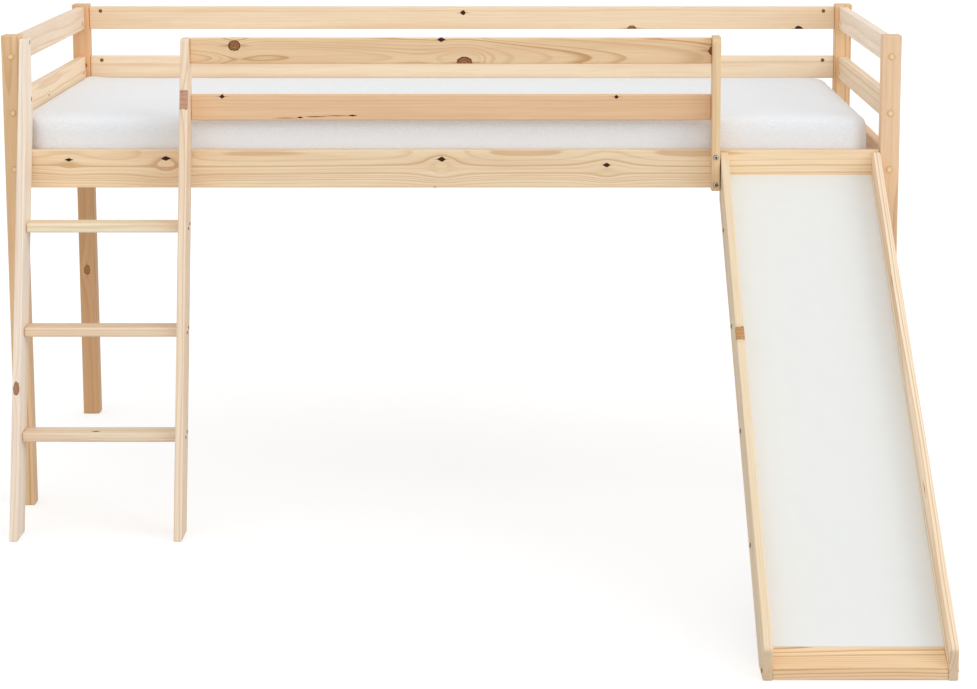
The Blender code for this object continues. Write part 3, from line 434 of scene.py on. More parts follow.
special = {
    "side_rail_front": dict(
        tone=paint(253, 229, 193), heart=(0, 0.034, 0.037), ring_width=0.0050, waver=0.012, strength=0.70,
        knots=(
            ((-0.9016, BED_FRONT, 0.8363), TOWARDS_WALL, 0.0042, 0.000, 0.40, 0.9, 0.80, 0.014),
            ((-0.6732, BED_FRONT, 0.8396), TOWARDS_WALL, 0.0058, 0.002, 0.50, 0.8, 1.00, 0.020),
            ((-0.0246, BED_FRONT, 0.8377), TOWARDS_WALL, 0.0062, 0.002, 0.60, 0.6, 1.10, 0.022),
            ((0.3637, BED_FRONT, 0.8238), TOWARDS_WALL, 0.0054, 0.001, 0.55, 0.6, 1.10, 0.016),
            ((-0.0405, BED_FRONT, 0.7700), TOWARDS_WALL, 0.0028, 0.001, 0.60, 0.5),
        )),
    "guard_board_upper": dict(
        tone=paint(246, 215, 174), heart=(0, 0.0290, -0.016), lean=(0, 0.045, 0), ring_width=0.0052,
        waver=0.006, strength=0.88, knots=(
            ((-0.5074, BED_FRONT, 1.1050), TOWARDS_WALL, 0.0124, 0.016, 0.85, 0.0),
            ((-0.0241, BED_FRONT, 1.1192), TOWARDS_WALL, 0.0052, 0.003, 0.50, 0.7),
            ((0.0304, BED_FRONT, 1.0640), TOWARDS_WALL, 0.0150, -0.026, 0.80, 0.0),
            # The knot at the right end, mostly behind the guard post, is a dark knot that also stands in for
            # the post's shadow on the board: painted shade.
            ((0.6140, BED_FRONT, 1.0930), TOWARDS_WALL, 0.0110, 0.003, 0.80, 0.0),
        )),
    "guard_board_middle": dict(
        tone=ROSY, heart=(0, 0.020, 0.080), ring_width=0.0060, waver=0.012, strength=0.40, knots=(
            ((-0.5382, BED_FRONT, 0.9858), TOWARDS_WALL, 0.0052, 0.003, 0.80, 0.7),
            ((0.3857, BED_FRONT, 0.9850), TOWARDS_WALL, 0.0046, 0.002, 1.00, 0.2),
            ((-0.3900, BED_FRONT, 0.9352), TOWARDS_WALL, 0.0010, 0.001, 0.030, 0.8),
            ((-0.3560, BED_FRONT, 0.9366), TOWARDS_WALL, 0.0024, 0.001, 0.300, 0.9),
            ((-0.3200, BED_FRONT, 0.9384), TOWARDS_WALL, 0.0014, 0.001, 0.050, 0.9),
            ((-0.2700, BED_FRONT, 0.9404), TOWARDS_WALL, 0.0010, 0.001, 0.030, 0.8),
            ((-0.2330, BED_FRONT, 0.9412), TOWARDS_WALL, 0.0022, 0.001, 0.200, 0.9),
        )),
    "back_board_upper": dict(
        tone=paint(244, 221, 189), heart=(0, 0.030, 0.120), ring_width=0.0080, waver=0.015, strength=0.30,
        knots=(
            ((0.0031, BED_BACK, 1.1072), TOWARDS_WALL, 0.0068, 0.004, 0.90, 0.3),
            ((0.4585, BED_BACK, 1.0650), TOWARDS_WALL, 0.0080, 0.008, 0.65, 0.2),
            ((0.9085, BED_BACK, 1.0650), TOWARDS_WALL, 0.0070, 0.006, 0.65, 0.2),
        )),
    "back_board_middle": dict(
        tone=paint(252, 233, 205), heart=(0, 0.045, -0.010), ring_width=0.0055, waver=0.012, strength=0.42),
    "slide_foot_board": dict(
        tone=paint(252, 222, 181), heart=(0, 0.022, 0.034), ring_width=0.0070, waver=0.038, strength=0.94),
    "guard_post": dict(
        tone=paint(244, 214, 171), heart=(0, 0.06, 0.02), ring_width=0.0055, waver=0.015, strength=0.50),
    "ladder_side_left": dict(
        tone=IVORY, heart=(0, 0.05, 0.02), ring_width=0.0050, waver=0.015, strength=0.35, knots=(
            ((-0.9962, -0.0870, 0.3382), TOWARDS_WALL, 0.0074, 0.006, 0.32, 0.3),
        ), knot_tone=paint(190, 134, 94), bark=0.75),
    "ladder_side_right": dict(
        tone=paint(251, 231, 206), heart=(0, 0.06, 0.01), ring_width=0.0050, waver=0.015, strength=0.45,
        knots=(
            ((-0.6210, 0.0850, 0.9850), TOWARDS_END, 0.0080, 0.006, 0.36, 0.0),
        ), knot_tone=paint(206, 158, 130), bark=0.38),
    "slide_cheek_left": dict(
        tone=paint(243, 225, 194), heart=(0, 0.03, 0.06), ring_width=0.0055, waver=0.015, strength=0.40,
        knots=(
            ((0.6392, -0.3797, 0.5292), TOWARDS_END, 0.0090, 0.008, 0.45, 0.0),
        ), knot_tone=paint(206, 152, 98), bark=0.45),
    "slide_cheek_right": dict(
        tone=paint(254, 236, 209), heart=(0, 0.04, 0.05), ring_width=0.0058, waver=0.020, strength=0.62,
        knots=(
            ((0.9867, -0.2324, 0.6167), TOWARDS_END, 0.0038, 0.002, 0.14, 0.5),
            ((0.9867, -0.7573, 0.2839), TOWARDS_END, 0.0038, 0.002, 0.14, 0.5),
        ), knot_tone=paint(206, 158, 118), bark=0.28),
    "post_front_left": dict(tone=TAN, heart=(0, 0.05, 0.01), ring_width=0.0060, waver=0.015, strength=0.70),
    "post_front_right": dict(
        tone=paint(248, 215, 180), heart=(0, 0.06, -0.02), ring_width=0.0048, waver=0.012, strength=0.42),
    "post_back_right": dict(tone=TAN, heart=(0, 0.05, 0.03), ring_width=0.0060, waver=0.015, strength=0.60),
    "end_board_upper_left": dict(
        tone=paint(241, 222, 200), heart=(0, 0.07, 0.02), ring_width=0.0065, waver=0.015, strength=0.35),
    "end_board_upper_right": dict(
        tone=paint(252, 236, 216), heart=(0, -0.08, 0.03), ring_width=0.0065, waver=0.015, strength=0.30),
    "rung_2": dict(tone=PALE, heart=(0, 0.040, 0.050), ring_width=0.0050, waver=0.020, strength=0.55),
    "rung_3": dict(
        tone=paint(255, 242, 213), heart=(0, 0.050, -0.020), ring_width=0.0050, waver=0.015, strength=0.40),
    "rung_1": dict(
        tone=paint(254, 240, 217), heart=(0, 0.010, 0.050), ring_width=0.0050, waver=0.020, strength=0.60,
        knots=(
            ((-0.8180, -0.0750, 0.2340), SKYWARD, 0.0046, 0.006, 0.40, 0.6),
        )),
    "end_board_middle_left": dict(
        tone=PALE, heart=(0, 0.040, 0.020), ring_width=0.0060, waver=0.020, strength=0.45, knots=(
            ((-1.0170, 0.5300, 0.9460), TOWARDS_END, 0.0040, 0.006, 0.90, 0.2),
        )),
    # The back left post's deeper tone is partly its own colour and partly painted shade for its leg under the
    # bed.
    "post_back_left": dict(
        tone=DEEP_SHADED, heart=(0, 0.050, 0.020), ring_width=0.0060, waver=0.015, strength=0.5, knots=(
            ((-1.0172, 1.0631, 0.9654), TOWARDS_WALL, 0.0046, 0.006, 0.70, 0.3),
            ((-1.0290, 1.0631, 0.4040), TOWARDS_WALL, 0.0085, 0.008, 0.60, 0.0),
        ), knot_tone=paint(190, 132, 84), bark=0.55),
}
print(len(special), "boards with a look of their own")

# %% The pieces and their grain
BOARDS_SEED, SEED_START, SEED_STEP = 11, 1.3, 3.7
HEART_NEAR, HEART_FAR = 0.035, 0.11
random = np.random.default_rng(BOARDS_SEED)


def grain_of(name):
    """Which way a piece's grain runs, from its name."""
    if name.startswith(("post", "guard_post")):
        return UPRIGHT
    if name.startswith(("end_", "slat_0", "slat_1")):
        return INWARD
    if name.startswith("ladder_side"):
        return LADDER_RISE
    if name.startswith("slide_cheek"):
        return SLIDE_RISE
    return ALONG


METAL = tuple(name for name in nodes if "bolt" in name)
TAPES = tuple(name for name in nodes if "tape" in name)
OTHER = ("mattress", "slide_panel")
boards = sorted(name for name in nodes if name not in METAL + TAPES + OTHER)
for number, name in enumerate(boards):
    angle, depth = random.uniform(0, 2 * math.pi), random.uniform(HEART_NEAR, HEART_FAR)
    tone = (PALE, HONEY, ROSY, CREAM)[int(random.integers(4))]
    drawn = dict(tone=tone, heart=(0, depth * math.cos(angle), depth * math.sin(angle)), ring_width=0.0065,
                 waver=0.018, strength=0.55)
    drawn.update(special.get(name, {}))
    finish_node(name, pine(name, grain_of(name), SEED_STEP * number + SEED_START, **drawn))
print(len(boards), "pieces of pine")

# %% [markdown]
# ## The slide's panel
#
# The sliding surface is a thin board with a hard white face. It is smooth and a little glossy, so its
# roughness varies only faintly, as wiped laminate does, and its relief is no more than a slight ripple.


# %% White laminate
def plain_material(name, colour, roughness, metallic=0.0):
    """A material with its shader set, and its tree and coordinates to go on from."""
    material = bpy.data.materials.new(name)
    material.use_nodes = True
    tree = material.node_tree
    shader = tree.nodes["Principled BSDF"]
    shader.inputs["Base Color"].default_value = colour
    shader.inputs["Roughness"].default_value = roughness
    shader.inputs["Metallic"].default_value = metallic
    return material, tree, shader, tree.nodes.new("ShaderNodeTexCoord").outputs["Object"]


laminate, tree, shader, spot = plain_material("white_laminate", paint(234, 236, 235), 0.35)
ripple = noise(tree, spot, 22.0, 3.0, 0.5)[0]
feed(tree, shader.inputs["Roughness"], ease(tree, ripple, 0.3, 0.7, 0.30, 0.40))
feed(tree, shader.inputs["Base Color"],
     colours(tree, ease(tree, ripple, 0.3, 0.8, 0.0, 0.25), paint(236, 238, 236), paint(230, 232, 230)))
relief(tree, ripple, 0.15, 0.0006)
finish_node("slide_panel", laminate)
print("panel finished")

# %% [markdown]
# ## Steel and webbing
#
# The bolts and the sleeve nuts are zinc-plated steel: bright, with a soft mottle where the plating is
# thicker. The two tapes that keep the slats apart are woven polyester, with a rib across the tape for every
# weft thread.

# %% Zinc-plated steel
steel, tree, shader, spot = plain_material("zinc_steel", paint(150, 148, 143), 0.2, 1.0)
mottle = noise(tree, spot, 900.0, 3.0, 0.6)[0]
feed(tree, shader.inputs["Roughness"], ease(tree, mottle, 0.3, 0.75, 0.12, 0.30))
feed(tree, shader.inputs["Base Color"],
     colours(tree, ease(tree, mottle, 0.3, 0.8), paint(158, 156, 151), paint(118, 115, 108)))
for name in METAL:
    finish_node(name, steel)
print(len(METAL), "bolts")

# %% Woven tape
webbing, tree, shader, spot = plain_material("woven_tape", paint(226, 224, 219), 0.85)
ribs = add(tree, "TexWave", spot, 420.0, 0.6, 1.0, wave_type="BANDS", bands_direction="X").outputs[1]
feed(tree, shader.inputs["Base Color"], colours(tree, ribs, paint(205, 202, 196), paint(232, 230, 226)))
relief(tree, ribs, 0.6, 0.0003)
for name in TAPES:
    finish_node(name, webbing)
print(len(TAPES), "tapes")

# %% [markdown]
# ## Turned fittings
#
# The small fittings are all turned shapes: cover plugs of pale plastic over the frame's bolts, the ends of
# the barrel nuts and sleeve nuts that the bolts pull on, and the screws of the rungs, the slats and the
# slide. One surface makes every one of them. A profile is carried round an axis, and a ring of it can be
# round, or take the outline of a hexagon, a cross or a slot, which is how a key's socket opens in a head.
# The nuts and screws are dull, and the domed heads on the guard are polished.


# %% The outline of a ring
SIDES = 48
ANGLES = np.linspace(0, 2 * math.pi, SIDES, endpoint=False)
BAR_WIDTH = 0.22


def outlined(outline, *rings):
    """A stretch of a profile: rings (reach, height) in millimetres that share one outline."""
    return tuple((size, height, outline) for size, height in rings)


def ring_radius(size, outline):
    """How far a ring reaches at each angle. A hexagon's side is its half width over the cosine of the angle
    from the middle of that side. A bar of half width w ends at its length, or where w over the sine is
    shorter, and a cross is two bars."""
    if outline == "round":
        return np.full(SIDES, size)
    if outline == "hexagon":
        return size / np.cos((ANGLES + math.pi / 6) % (math.pi / 3) - math.pi / 6)
    bar, other = (np.minimum(size, size * BAR_WIDTH / np.maximum(np.abs(slant(ANGLES)), 1e-6))
                  for slant in (np.sin, np.cos))
    return bar if outline == "slot" else np.maximum(bar, other)


print("a ring has", SIDES, "sides")


# %% A profile carried round an axis
CREASE = math.radians(35)


def turned_faces(rings):
    """Squares between each ring and the next, and a fan of triangles round each pole. The poles come last."""
    around = np.arange(SIDES)
    after = (around + 1) % SIDES
    low = np.arange(rings - 1)[:, None] * SIDES
    high = low + SIDES
    walls = np.stack([low + around, low + after, high + after, high + around], -1).reshape(-1, 4)
    back, front = np.full(SIDES, rings * SIDES), np.full(SIDES, rings * SIDES + 1)
    top = (rings - 1) * SIDES
    return walls, np.stack([back, after, around], -1), np.stack([front, top + around, top + after], -1)


def turned(name, profile, places, material):
    """Point = place + outward * height + ring radius * (cosine of the angle * one side + sine * the other).
    The profile runs from the pole at the back, over the rim, to the pole in the middle of the front. Each
    place is a point and the direction that the fitting faces. Reach, kept for the finish, is 1 at the widest
    ring."""
    sizes, heights = np.array([ring[:2] for ring in profile]).T
    share = np.append(np.repeat(sizes[1:-1] / sizes.max(), SIDES), (0, 0))
    radii = np.array([ring_radius(size / 1000, outline) for size, height, outline in profile[1:-1]])
    levels = np.repeat(heights[1:-1, None], SIDES, 1) / 1000
    sheet = np.stack([radii * np.cos(ANGLES), radii * np.sin(ANGLES), levels], -1).reshape(-1, 3)
    shape = np.concatenate([sheet, [[0, 0, heights[0] / 1000], [0, 0, heights[-1] / 1000]]])
    points, faces = [], []
    for number, (place, outward) in enumerate(places):
        turn = np.array(UPRIGHT.rotation_difference(Vector(outward)).to_matrix())
        points.append(shape @ turn.T + np.array(place))
        for batch in turned_faces(len(radii)):
            faces += (batch + number * len(shape)).tolist()
    mesh = bpy.data.meshes.new(name)
    mesh.from_pydata(np.concatenate(points).tolist(), [], faces)
    mesh.shade_smooth()
    mesh.set_sharp_from_angle(angle=CREASE)
    # Reach is also what the plugs and the domed heads read to place their painted shade.
    mesh.attributes.new("reach", "FLOAT", "POINT").data.foreach_set("value", np.tile(share, len(places)))
    mesh.materials.append(material)
    piece = bpy.data.objects.new(name, mesh)
    bpy.context.scene.collection.objects.link(piece)
    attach(piece, "bed")
    print(name, "x", len(places))
    return piece


# %% Faces of the posts
PLUG_PROUD = 0.0018
POST_INSIDE, PLUGS_OUTSIDE = edges("post_front_right", "X")
END_FACE = PLUGS_OUTSIDE - PLUG_PROUD
FRONT_FACE = edges("post_front_right", "Y")[0] + PLUG_PROUD
BACK_FACE = edges("post_back_right", "Y")[1] - PLUG_PROUD
HALF_POST = (END_FACE - POST_INSIDE) / 2
POST_X = END_FACE - HALF_POST
POST_Y = {"front": FRONT_FACE + HALF_POST, "back": BACK_FACE - HALF_POST}
print("posts", round(HALF_POST * 2000), "mm square")

# %% Where the bolts run
CROSS_DROP, BOARD_LIFT, RAIL_SPREAD = 0.012, 0.019, 0.0315
BOARD_MIDDLES = [centre(f"back_board_{level}", "Z") for level in ("upper", "middle")]
RAIL_MIDDLE = centre("side_rail_front", "Z")
CROSS_HEIGHTS = (*(height - CROSS_DROP for height in BOARD_MIDDLES), RAIL_MIDDLE)
BOARD_HEIGHTS = tuple(height + BOARD_LIFT for height in BOARD_MIDDLES)
RAIL_HEIGHTS = (RAIL_MIDDLE - RAIL_SPREAD, RAIL_MIDDLE + RAIL_SPREAD)
ENDS = {"left": -1, "right": 1}

plug_places = {}
for side, sign in ENDS.items():
    for row, post_y in POST_Y.items():
        face, way = (FRONT_FACE, -1) if row == "front" else (BACK_FACE, 1)
        spots = [((sign * POST_X, face, height), (0, way, 0)) for height in CROSS_HEIGHTS]
        boards_here = row == "back" or side == "left"
        heights = (BOARD_HEIGHTS if boards_here else ()) + RAIL_HEIGHTS
        spots += [((sign * END_FACE, post_y, height), (sign, 0, 0)) for height in heights]
        plug_places[f"{row}_{side}"] = spots
print(sum(map(len, plug_places.values())), "cover plugs")

# %% Cover plugs
PLUG_PROFILE = outlined(
    "round", (0, -0.6), (7.3, -0.6), (7.95, 0.0), (7.90, 0.7), (7.55, 1.45), (7.0, 1.82), (6.4, 1.88),
    (5.9, 1.82), (5.5, 1.58), (5.1, 1.30), (4.7, 1.20), (0, 1.16))
plastic, tree, shader, spot = plain_material("pale_plastic", paint(238, 200, 138), 0.32)
cloud = noise(tree, spot, 160.0, 2.0, 0.5)[0]
pale = colours(tree, ease(tree, cloud, 0.3, 0.7), paint(252, 222, 170), paint(247, 213, 157))
reach = add(tree, "Attribute", attribute_name="reach").outputs["Fac"]
# Painted shade: the plug turns brown on the sloping wall of its dished middle and at its outer rim by the
# post, where shade falls.
wall = sum_of(tree, "MULTIPLY", ease(tree, reach, 0.58, 0.66), ease(tree, reach, 0.72, 0.80, 1.0, 0.0))
painted_plug_shade = sum_of(tree, "MAXIMUM", sum_of(tree, "MULTIPLY", wall, 0.75), ease(tree, reach, 0.88, 0.97))
feed(tree, shader.inputs["Base Color"], colours(tree, painted_plug_shade, pale, paint(186, 134, 78)))
feed(tree, shader.inputs["Roughness"], ease(tree, cloud, 0.3, 0.7, 0.26, 0.38))
for post, spots in plug_places.items():
    turned(f"cover_plugs_{post}", PLUG_PROFILE, spots, plastic)

# %% Barrel nuts
dull, tree, shader, spot = plain_material("dull_steel", paint(142, 118, 84), 0.45, 1.0)
stain = noise(tree, spot, 700.0, 3.0, 0.6)[0]
feed(tree, shader.inputs["Base Color"],
     colours(tree, ease(tree, stain, 0.3, 0.8), paint(152, 126, 90), paint(88, 68, 44)))
feed(tree, shader.inputs["Roughness"], ease(tree, stain, 0.3, 0.75, 0.35, 0.55))
NUT_PROFILE = outlined(
    "round", (0, -14.0), (4.98, -14.0), (4.98, -0.7), (4.5, -0.7), (4.3, -2.8), (3.5, -2.8), (3.3, -0.7),
    (2.9, -0.5)
) + outlined("slot", (2.3, -0.5), (2.3, -2.0), (0, -2.0))
NUT_INSET, GUARD_NUT_INSET = 0.0307, 0.031
RAIL_BACK, END_BOARD_FACE = edges("side_rail_front", "Y")[1], edges("end_board_middle_right", "X")[0]
NUT_X = edges("side_rail_front", "X")[1] - NUT_INSET
CROSS_LOW, CROSS_HIGH = edges("end_board_middle_right", "Y")
GUARD_LOW, GUARD_HIGH = edges("guard_board_upper", "X")
CHEEK_FACES = ((edges("slide_cheek_left", "X")[0], -1), (edges("slide_cheek_right", "X")[1], 1))
CHEEK_HEAD = edges("slide_cheek_left", "Y")[1]
nut_places = {
    "back": [((sign * NUT_X, BED_BACK, height), (0, -1, 0))
             for sign in ENDS.values() for height in BOARD_HEIGHTS + RAIL_HEIGHTS],
    "front": [((sign * NUT_X, RAIL_BACK, height), TOWARDS_WALL)
              for sign in ENDS.values() for height in RAIL_HEIGHTS],
    "ends": [((sign * END_BOARD_FACE, y, height), (-sign, 0, 0)) for sign in ENDS.values()
             for y in (CROSS_LOW + NUT_INSET, CROSS_HIGH - NUT_INSET) for height in CROSS_HEIGHTS],
    "guard": [((x, RAIL_BACK, height), TOWARDS_WALL)
              for x in (GUARD_LOW + GUARD_NUT_INSET, GUARD_HIGH - GUARD_NUT_INSET)
              for height in BOARD_MIDDLES],
    "slide": [((x, CHEEK_HEAD - GUARD_NUT_INSET, RAIL_MIDDLE), (way, 0, 0)) for x, way in CHEEK_FACES],
}
for group_name, spots in nut_places.items():
    turned(f"barrel_nuts_{group_name}", NUT_PROFILE, spots, dull)

# %% Button bolts
BOLT_PROFILE = outlined(
    "round", (0, -59.0), (2.9, -59.0), (2.9, 0.0), (6.0, 0.02), (6.0, 0.5), (5.6, 1.5), (4.9, 2.4),
    (4.0, 3.0), (3.2, 3.3)
) + outlined("hexagon", (2.3, 3.4), (2.1, 3.2), (2.1, 1.2), (0, 1.2))
GUARD_SEATS = {"ladder": (edges("ladder_side_right", "X")[0], -1), "post": (edges("guard_post", "X")[1], 1)}
GUARD_POST_FRONT = edges("guard_post", "Y")[0]
bolt_places = {}
for level in ("upper", "middle"):
    for seat, (x, way) in GUARD_SEATS.items():
        name = f"guard_bolt_{seat}_{level}"
        bolt_places[name] = ((x, centre(name, "Y"), centre(name, "Z")), (way, 0, 0))
for level in ("upper", "lower"):
    name = f"guard_post_bolt_{level}"
    bolt_places[name] = ((centre(name, "X"), GUARD_POST_FRONT, centre(name, "Z")), (0, -1, 0))
print(len(bolt_places), "domed heads")

# %% Polished steel
bright, tree, shader, spot = plain_material("polished_steel", paint(176, 172, 164), 0.16, 1.0)
reach = add(tree, "Attribute", attribute_name="reach").outputs["Fac"]
# Painted shade and reflection: the hex socket is painted near black for the shade inside it, and the dome
# darkens towards its edge as a painted reflection of dark surroundings.
deep = sum_of(tree, "MAXIMUM", ease(tree, reach, 0.36, 0.44, 1.0, 0.0), ease(tree, reach, 0.80, 0.98))
scuff = noise(tree, spot, 900.0, 3.0, 0.6)[0]
feed(tree, shader.inputs["Base Color"], colours(tree, deep, paint(176, 172, 164), paint(38, 32, 26)))
feed(tree, shader.inputs["Roughness"], ease(tree, scuff, 0.3, 0.75, 0.10, 0.24))
for name, spot_and_way in bolt_places.items():
    head = turned(f"{name}_domed", BOLT_PROFILE, [spot_and_way], bright)
    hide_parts(name)

# %% Sleeve nuts
SLEEVE_PROFILE = outlined(
    "round", (0, -8.0), (4.3, -8.0), (4.3, -1.45), (6.4, -1.45), (6.4, -0.5), (5.9, 0.1), (4.6, 0.4)
) + outlined("hexagon", (2.1, 0.45), (2.1, -1.8), (0, -1.8))
LADDER_INSIDE = edges("ladder_side_left", "X")[1]
sleeve_places = [((LADDER_INSIDE, centre(name, "Y"), centre(name, "Z")), TOWARDS_END)
                 for name in ("ladder_bolt_upper", "ladder_bolt_middle")]
sleeve_places += [((centre(name, "X"), RAIL_BACK, centre(name, "Z")), TOWARDS_WALL)
                  for name in ("guard_post_bolt_lower", "guard_post_bolt_upper")]
turned("sleeve_nuts", SLEEVE_PROFILE, sleeve_places, steel)

# %% Screws of the rungs and the slats
SUNK_PROFILE = outlined(
    "round", (0, -8.0), (1.7, -8.0), (1.7, -2.3), (3.5, 0.0), (3.9, 0.05), (3.9, 0.5), (3.4, 1.1), (2.6, 1.5)
) + outlined("cross", (2.0, 1.6), (1.4, -0.2), (0, -0.2))
FLUSH_PROFILE = outlined(
    "round", (0, -8.0), (1.7, -8.0), (1.7, -2.3), (3.4, -0.4), (3.2, -0.25)
) + outlined("cross", (2.3, -0.25), (1.6, -1.8), (0, -1.8))
RUNG_SCREW_SPREAD = 0.013
LADDER_FACES = ((edges("ladder_side_left", "X")[0], -1), (edges("ladder_side_right", "X")[1], 1))
rung_places = []
for rung in ("rung_1", "rung_2", "rung_3"):
    for step in (-RUNG_SCREW_SPREAD, RUNG_SCREW_SPREAD):
        y, z = centre(rung, "Y") + step, centre(rung, "Z") + step * LADDER_LEAN
        rung_places += [((x, y, z), (way, 0, 0)) for x, way in LADDER_FACES]
turned("rung_screws", SUNK_PROFILE, rung_places, dull)
SLAT_TOP = edges("slat_01", "Z")[1]
slat_places = [((centre(slat, "X"), centre(ledge, "Y"), SLAT_TOP), SKYWARD)
               for slat in ("slat_01", "slat_14") for ledge in ("slat_ledge_front", "slat_ledge_back")]
turned("slat_screws", FLUSH_PROFILE, slat_places, dull)

# %% Screws of the slide
BUTTON_PROFILE = outlined(
    "round", (0, -9.0), (2.4, -9.0), (2.4, 0.0), (5.25, 0.02), (5.2, 0.6), (4.7, 1.3), (3.9, 1.9), (3.0, 2.15)
) + outlined("hexagon", (1.6, 2.2), (1.6, 0.5), (0, 0.5))
FOOT_SCREW = (-1.0959, 0.0165)
battens = [f"slide_batten_{number}" for number in (1, 2, 3, 4)]
slide_spots = [(centre(batten, "Y"), centre(batten, "Z")) for batten in battens] + [FOOT_SCREW]
slide_places = [((x, y, z), (way, 0, 0)) for y, z in slide_spots for x, way in CHEEK_FACES]
turned("slide_screws", BUTTON_PROFILE, slide_places, dull)

# %% [markdown]
# ## The mattress
#
# A foam mattress in a knitted cover is soft at its edges and firm in its middle. It could be a rounded
# block, but such a block looks like plaster. Here the cover is a real skin: it starts a little too small,
# is blown up by the pressure of the foam inside it, and is stopped a few millimetres further out, so that
# its faces crown and its corners draw in as cloth does. It is then spread over the length and width that a
# real one fills. At the ladder's end it lies hard against the boards, which squeeze its edge square and a
# little upwards.

# %% The cover before it is filled
MATTRESS_LOW, MATTRESS_HIGH = (np.array(corner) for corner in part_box("mattress"))
CORNER_RADIUS, EDGE_RADIUS, PRESSED_RADIUS = 0.052, 0.026, 0.009
UNDERSIZE, SKIN_STEP = 0.0020, 0.012
CORNER_STEPS, EDGE_STEPS = 9, 13


def cover_start(name):
    """Loops of a rounded rectangle, drawn in as the loop climbs over the edge: the inset is the edge's radius
    times one less the cosine, and the height is that radius times the sine. The edge's radius goes from the
    soft one to the pressed one, towards the end where the mattress lies hard against the boards."""
    low, high = MATTRESS_LOW + UNDERSIZE, MATTRESS_HIGH - UNDERSIZE
    middle, half = (low + high) / 2, (high - low) / 2
    bend = np.linspace(0, math.pi / 2, CORNER_STEPS)
    side = np.repeat([[1, 1], [-1, 1], [-1, -1], [1, -1]], CORNER_STEPS, axis=0)
    arc = np.concatenate([bend + turn * math.pi / 2 for turn in range(4)])
    climb = np.linspace(-math.pi / 2, math.pi / 2, EDGE_STEPS)
    pressed = np.clip(-np.cos(arc) * 1.4 - 0.2, 0, 1)
    edge = EDGE_RADIUS + (PRESSED_RADIUS - EDGE_RADIUS) * pressed
    inset = edge * (1 - np.cos(climb))[:, None]
    height = np.sign(climb)[:, None] * (half[2] - edge) + edge * np.sin(climb)[:, None]
    radius = CORNER_RADIUS - inset
    x = side[:, 0] * (half[0] - CORNER_RADIUS) + radius * np.cos(arc)
    y = side[:, 1] * (half[1] - CORNER_RADIUS) + radius * np.sin(arc)
    cloud = np.stack([x, y, height], -1) + middle
    rows, columns = x.shape
    here = np.arange(rows - 1)[:, None] * columns + np.arange(columns)
    there = np.arange(rows - 1)[:, None] * columns + (np.arange(columns) + 1) % columns
    faces = np.stack([here, there, there + columns, here + columns], -1).reshape(-1, 4).tolist()
    faces += [list(range(columns))[::-1], list(range((rows - 1) * columns, rows * columns))]
    mesh = bpy.data.meshes.new(name)
    mesh.from_pydata(cloud.reshape(-1, 3).tolist(), [], faces)
    piece = bpy.data.objects.new(name, mesh)
    bpy.context.scene.collection.objects.link(piece)
    return piece


def applied(piece, name):
    """A new piece whose mesh is what the old one's modifiers made of it; the old piece goes."""
    view = bpy.context.evaluated_depsgraph_get()
    mesh = bpy.data.meshes.new_from_object(piece.evaluated_get(view))
    mesh.name = name
    bpy.data.objects.remove(piece)
    fresh = bpy.data.objects.new(name, mesh)
    bpy.context.scene.collection.objects.link(fresh)
    return fresh


def points_of(mesh):
    """All the vertices of a mesh as one array."""
    flat = np.empty(len(mesh.vertices) * 3)
    mesh.vertices.foreach_get("co", flat)
    return flat.reshape(-1, 3)


cover = cover_start("cover start")
remesh = cover.modifiers.new("even skin", "REMESH")
remesh.mode = "VOXEL"
remesh.voxel_size = SKIN_STEP
cover = applied(cover, "mattress_cover")
start = points_of(cover.data)
print("cover:", len(start), "points")

# %% Filling it
FOAM_PRESSURE, FILLING_FRAMES = 4.0, 20
cloth = cover.modifiers.new("filling", "CLOTH")
cloth.settings.use_pressure = True
cloth.settings.uniform_pressure_force = FOAM_PRESSURE
cloth.settings.effector_weights.gravity = 0.0
for frame_number in range(1, FILLING_FRAMES + 1):
    bpy.context.scene.frame_set(frame_number)
cover = applied(cover, "mattress_cover")
bpy.context.scene.frame_set(1)
moved = points_of(cover.data) - start
length = np.linalg.norm(moved, axis=1, keepdims=True)
print("moved up to", round(float(length.max()) * 1000, 1), "mm")

# %% Lying in the bed
# Each point goes the way the foam pushed it, but no further than the push allows. Near the ladder's end it
# also rises, by the square of its share of the squeezed length times the cube of its share of the height.
FOAM_PUSH, SIDE_ROOM, TOP_ROOM = 0.0055, 0.002, 0.006
SQUEEZE, SQUEEZE_START, SQUEEZE_LENGTH = 0.009, -0.93, 0.075
filled = start + moved * np.minimum(1, FOAM_PUSH / np.maximum(length, 1e-9))
low, high = filled.min(axis=0), filled.max(axis=0)
room_low, room_high = MATTRESS_LOW - (0, SIDE_ROOM, 0), MATTRESS_HIGH + (0, SIDE_ROOM, TOP_ROOM)
filled[:, :2] = (room_low + (filled - low) * (room_high - room_low) / (high - low))[:, :2]
filled[:, 2] = np.clip(filled[:, 2], room_low[2], room_high[2])
squeezed = np.clip((SQUEEZE_START - filled[:, 0]) / SQUEEZE_LENGTH, 0, 1) ** 2
upward = (filled[:, 2] - room_low[2]) / (room_high[2] - room_low[2])
filled[:, 2] += SQUEEZE * squeezed * upward ** 3
cover.data.vertices.foreach_set("co", filled.ravel())
cover.data.shade_smooth()
soften = cover.modifiers.new("finer skin", "SUBSURF")
soften.levels = soften.render_levels = 1
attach(cover, "mattress")
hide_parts("mattress")
print("push kept to", FOAM_PUSH * 1000, "mm, squeezed up by", SQUEEZE * 1000, "mm")

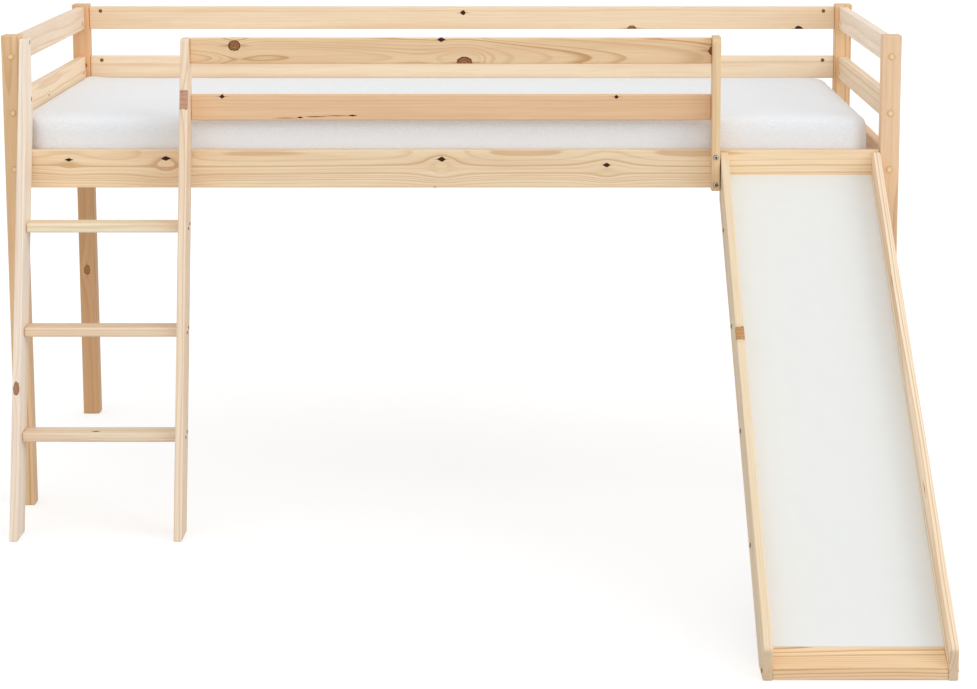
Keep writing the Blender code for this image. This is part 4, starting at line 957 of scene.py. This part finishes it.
# %% Knitted cover
knit, tree, shader, spot = plain_material("white_knit", paint(240, 243, 246), 0.92)
loops = noise(tree, spot, 420.0, 3.0, 0.65)[0]
slubs = noise(tree, arrow(tree, "MULTIPLY", spot, (60.0, 60.0, 180.0)), 1.0, 2.0, 0.6)[0]
weft = colours(tree, ease(tree, loops, 0.35, 0.65), paint(234, 237, 241), paint(247, 250, 253))
feed(tree, shader.inputs["Base Color"],
     colours(tree, ease(tree, slubs, 0.45, 0.8, 0.0, 0.5), weft, paint(235, 238, 242)))
shader.inputs["Sheen Weight"].default_value = 0.25
shader.inputs["Sheen Roughness"].default_value = 0.5
relief(tree, sum_of(tree, "ADD", loops, slubs), 0.5, 0.0012)
cover.data.materials.clear()
cover.data.materials.append(knit)
print("mattress finished")

# %% [markdown]
# ## The floor and the light
#
# The bed stands on a white floor in a white studio. The floor glows faintly for the camera alone, which lifts
# it to white without lighting the wood from below, and it still takes the bed's shadow. One soft lamp shines
# from the right, a wider one from the camera's side, and the white room fills in the rest.


# %% What the camera sees straight
def seen_by_camera(tree):
    """1 where the camera looks, also by a mirror or through glass, and 0 for light that falls on the bed."""
    path = tree.nodes.new("ShaderNodeLightPath").outputs
    seen = sum_of(tree, "MAXIMUM", path["Is Camera Ray"], path["Is Glossy Ray"])
    return sum_of(tree, "MAXIMUM", seen, path["Is Transmission Ray"])


# %% Floor
FLOOR_REACH, FLOOR_GLOW = 14.0, 0.62
floor_mesh = bpy.data.meshes.new("floor")
corners = FLOOR_REACH * np.array([(-1, -1, 0), (1, -1, 0), (1, 1, 0), (-1, 1, 0)])
floor_mesh.from_pydata(corners.tolist(), [], [(0, 1, 2, 3)])
floor = bpy.data.objects.new("floor", floor_mesh)
bpy.context.scene.collection.objects.link(floor)
floor_paint, tree, shader, spot = plain_material("floor_paint", paint(186, 186, 186), 0.75)
shader.inputs["Specular IOR Level"].default_value = 0.1
shader.inputs["Emission Color"].default_value = (1, 1, 1, 1)
feed(tree, shader.inputs["Emission Strength"], sum_of(tree, "MULTIPLY", seen_by_camera(tree), FLOOR_GLOW))
floor_mesh.materials.append(floor_paint)
print("floor", 2 * FLOOR_REACH, "m wide")

# %% World
ROOM_LIGHT = 0.83
world = bpy.data.worlds.new("white room")
bpy.context.scene.world = world
world.use_nodes = True
tree = world.node_tree
background = tree.nodes["Background"].inputs
background["Color"].default_value = (1, 1, 1, 1)
feed(tree, background["Strength"], ease(tree, seen_by_camera(tree), 0.0, 1.0, ROOM_LIGHT, 1.0))
print("the room shines at", ROOM_LIGHT)


# %% Lamps
def soft_lamp(name, towards, spread, strength):
    """A far lamp that shines in the direction given; the wider its spread, the softer its shadows."""
    data = bpy.data.lights.new(name, "SUN")
    data.angle = math.radians(spread)
    data.energy = strength
    lamp = bpy.data.objects.new(name, data)
    lamp.rotation_euler = Vector(towards).to_track_quat("-Z", "Y").to_euler()
    bpy.context.scene.collection.objects.link(lamp)
    return lamp


soft_lamp("side lamp", (-0.90, 0.55, -0.45), 40, 0.70)
soft_lamp("front lamp", (0.10, 1.00, -0.30), 70, 0.36)

scene = bpy.context.scene
scene.view_settings.view_transform = "Standard"
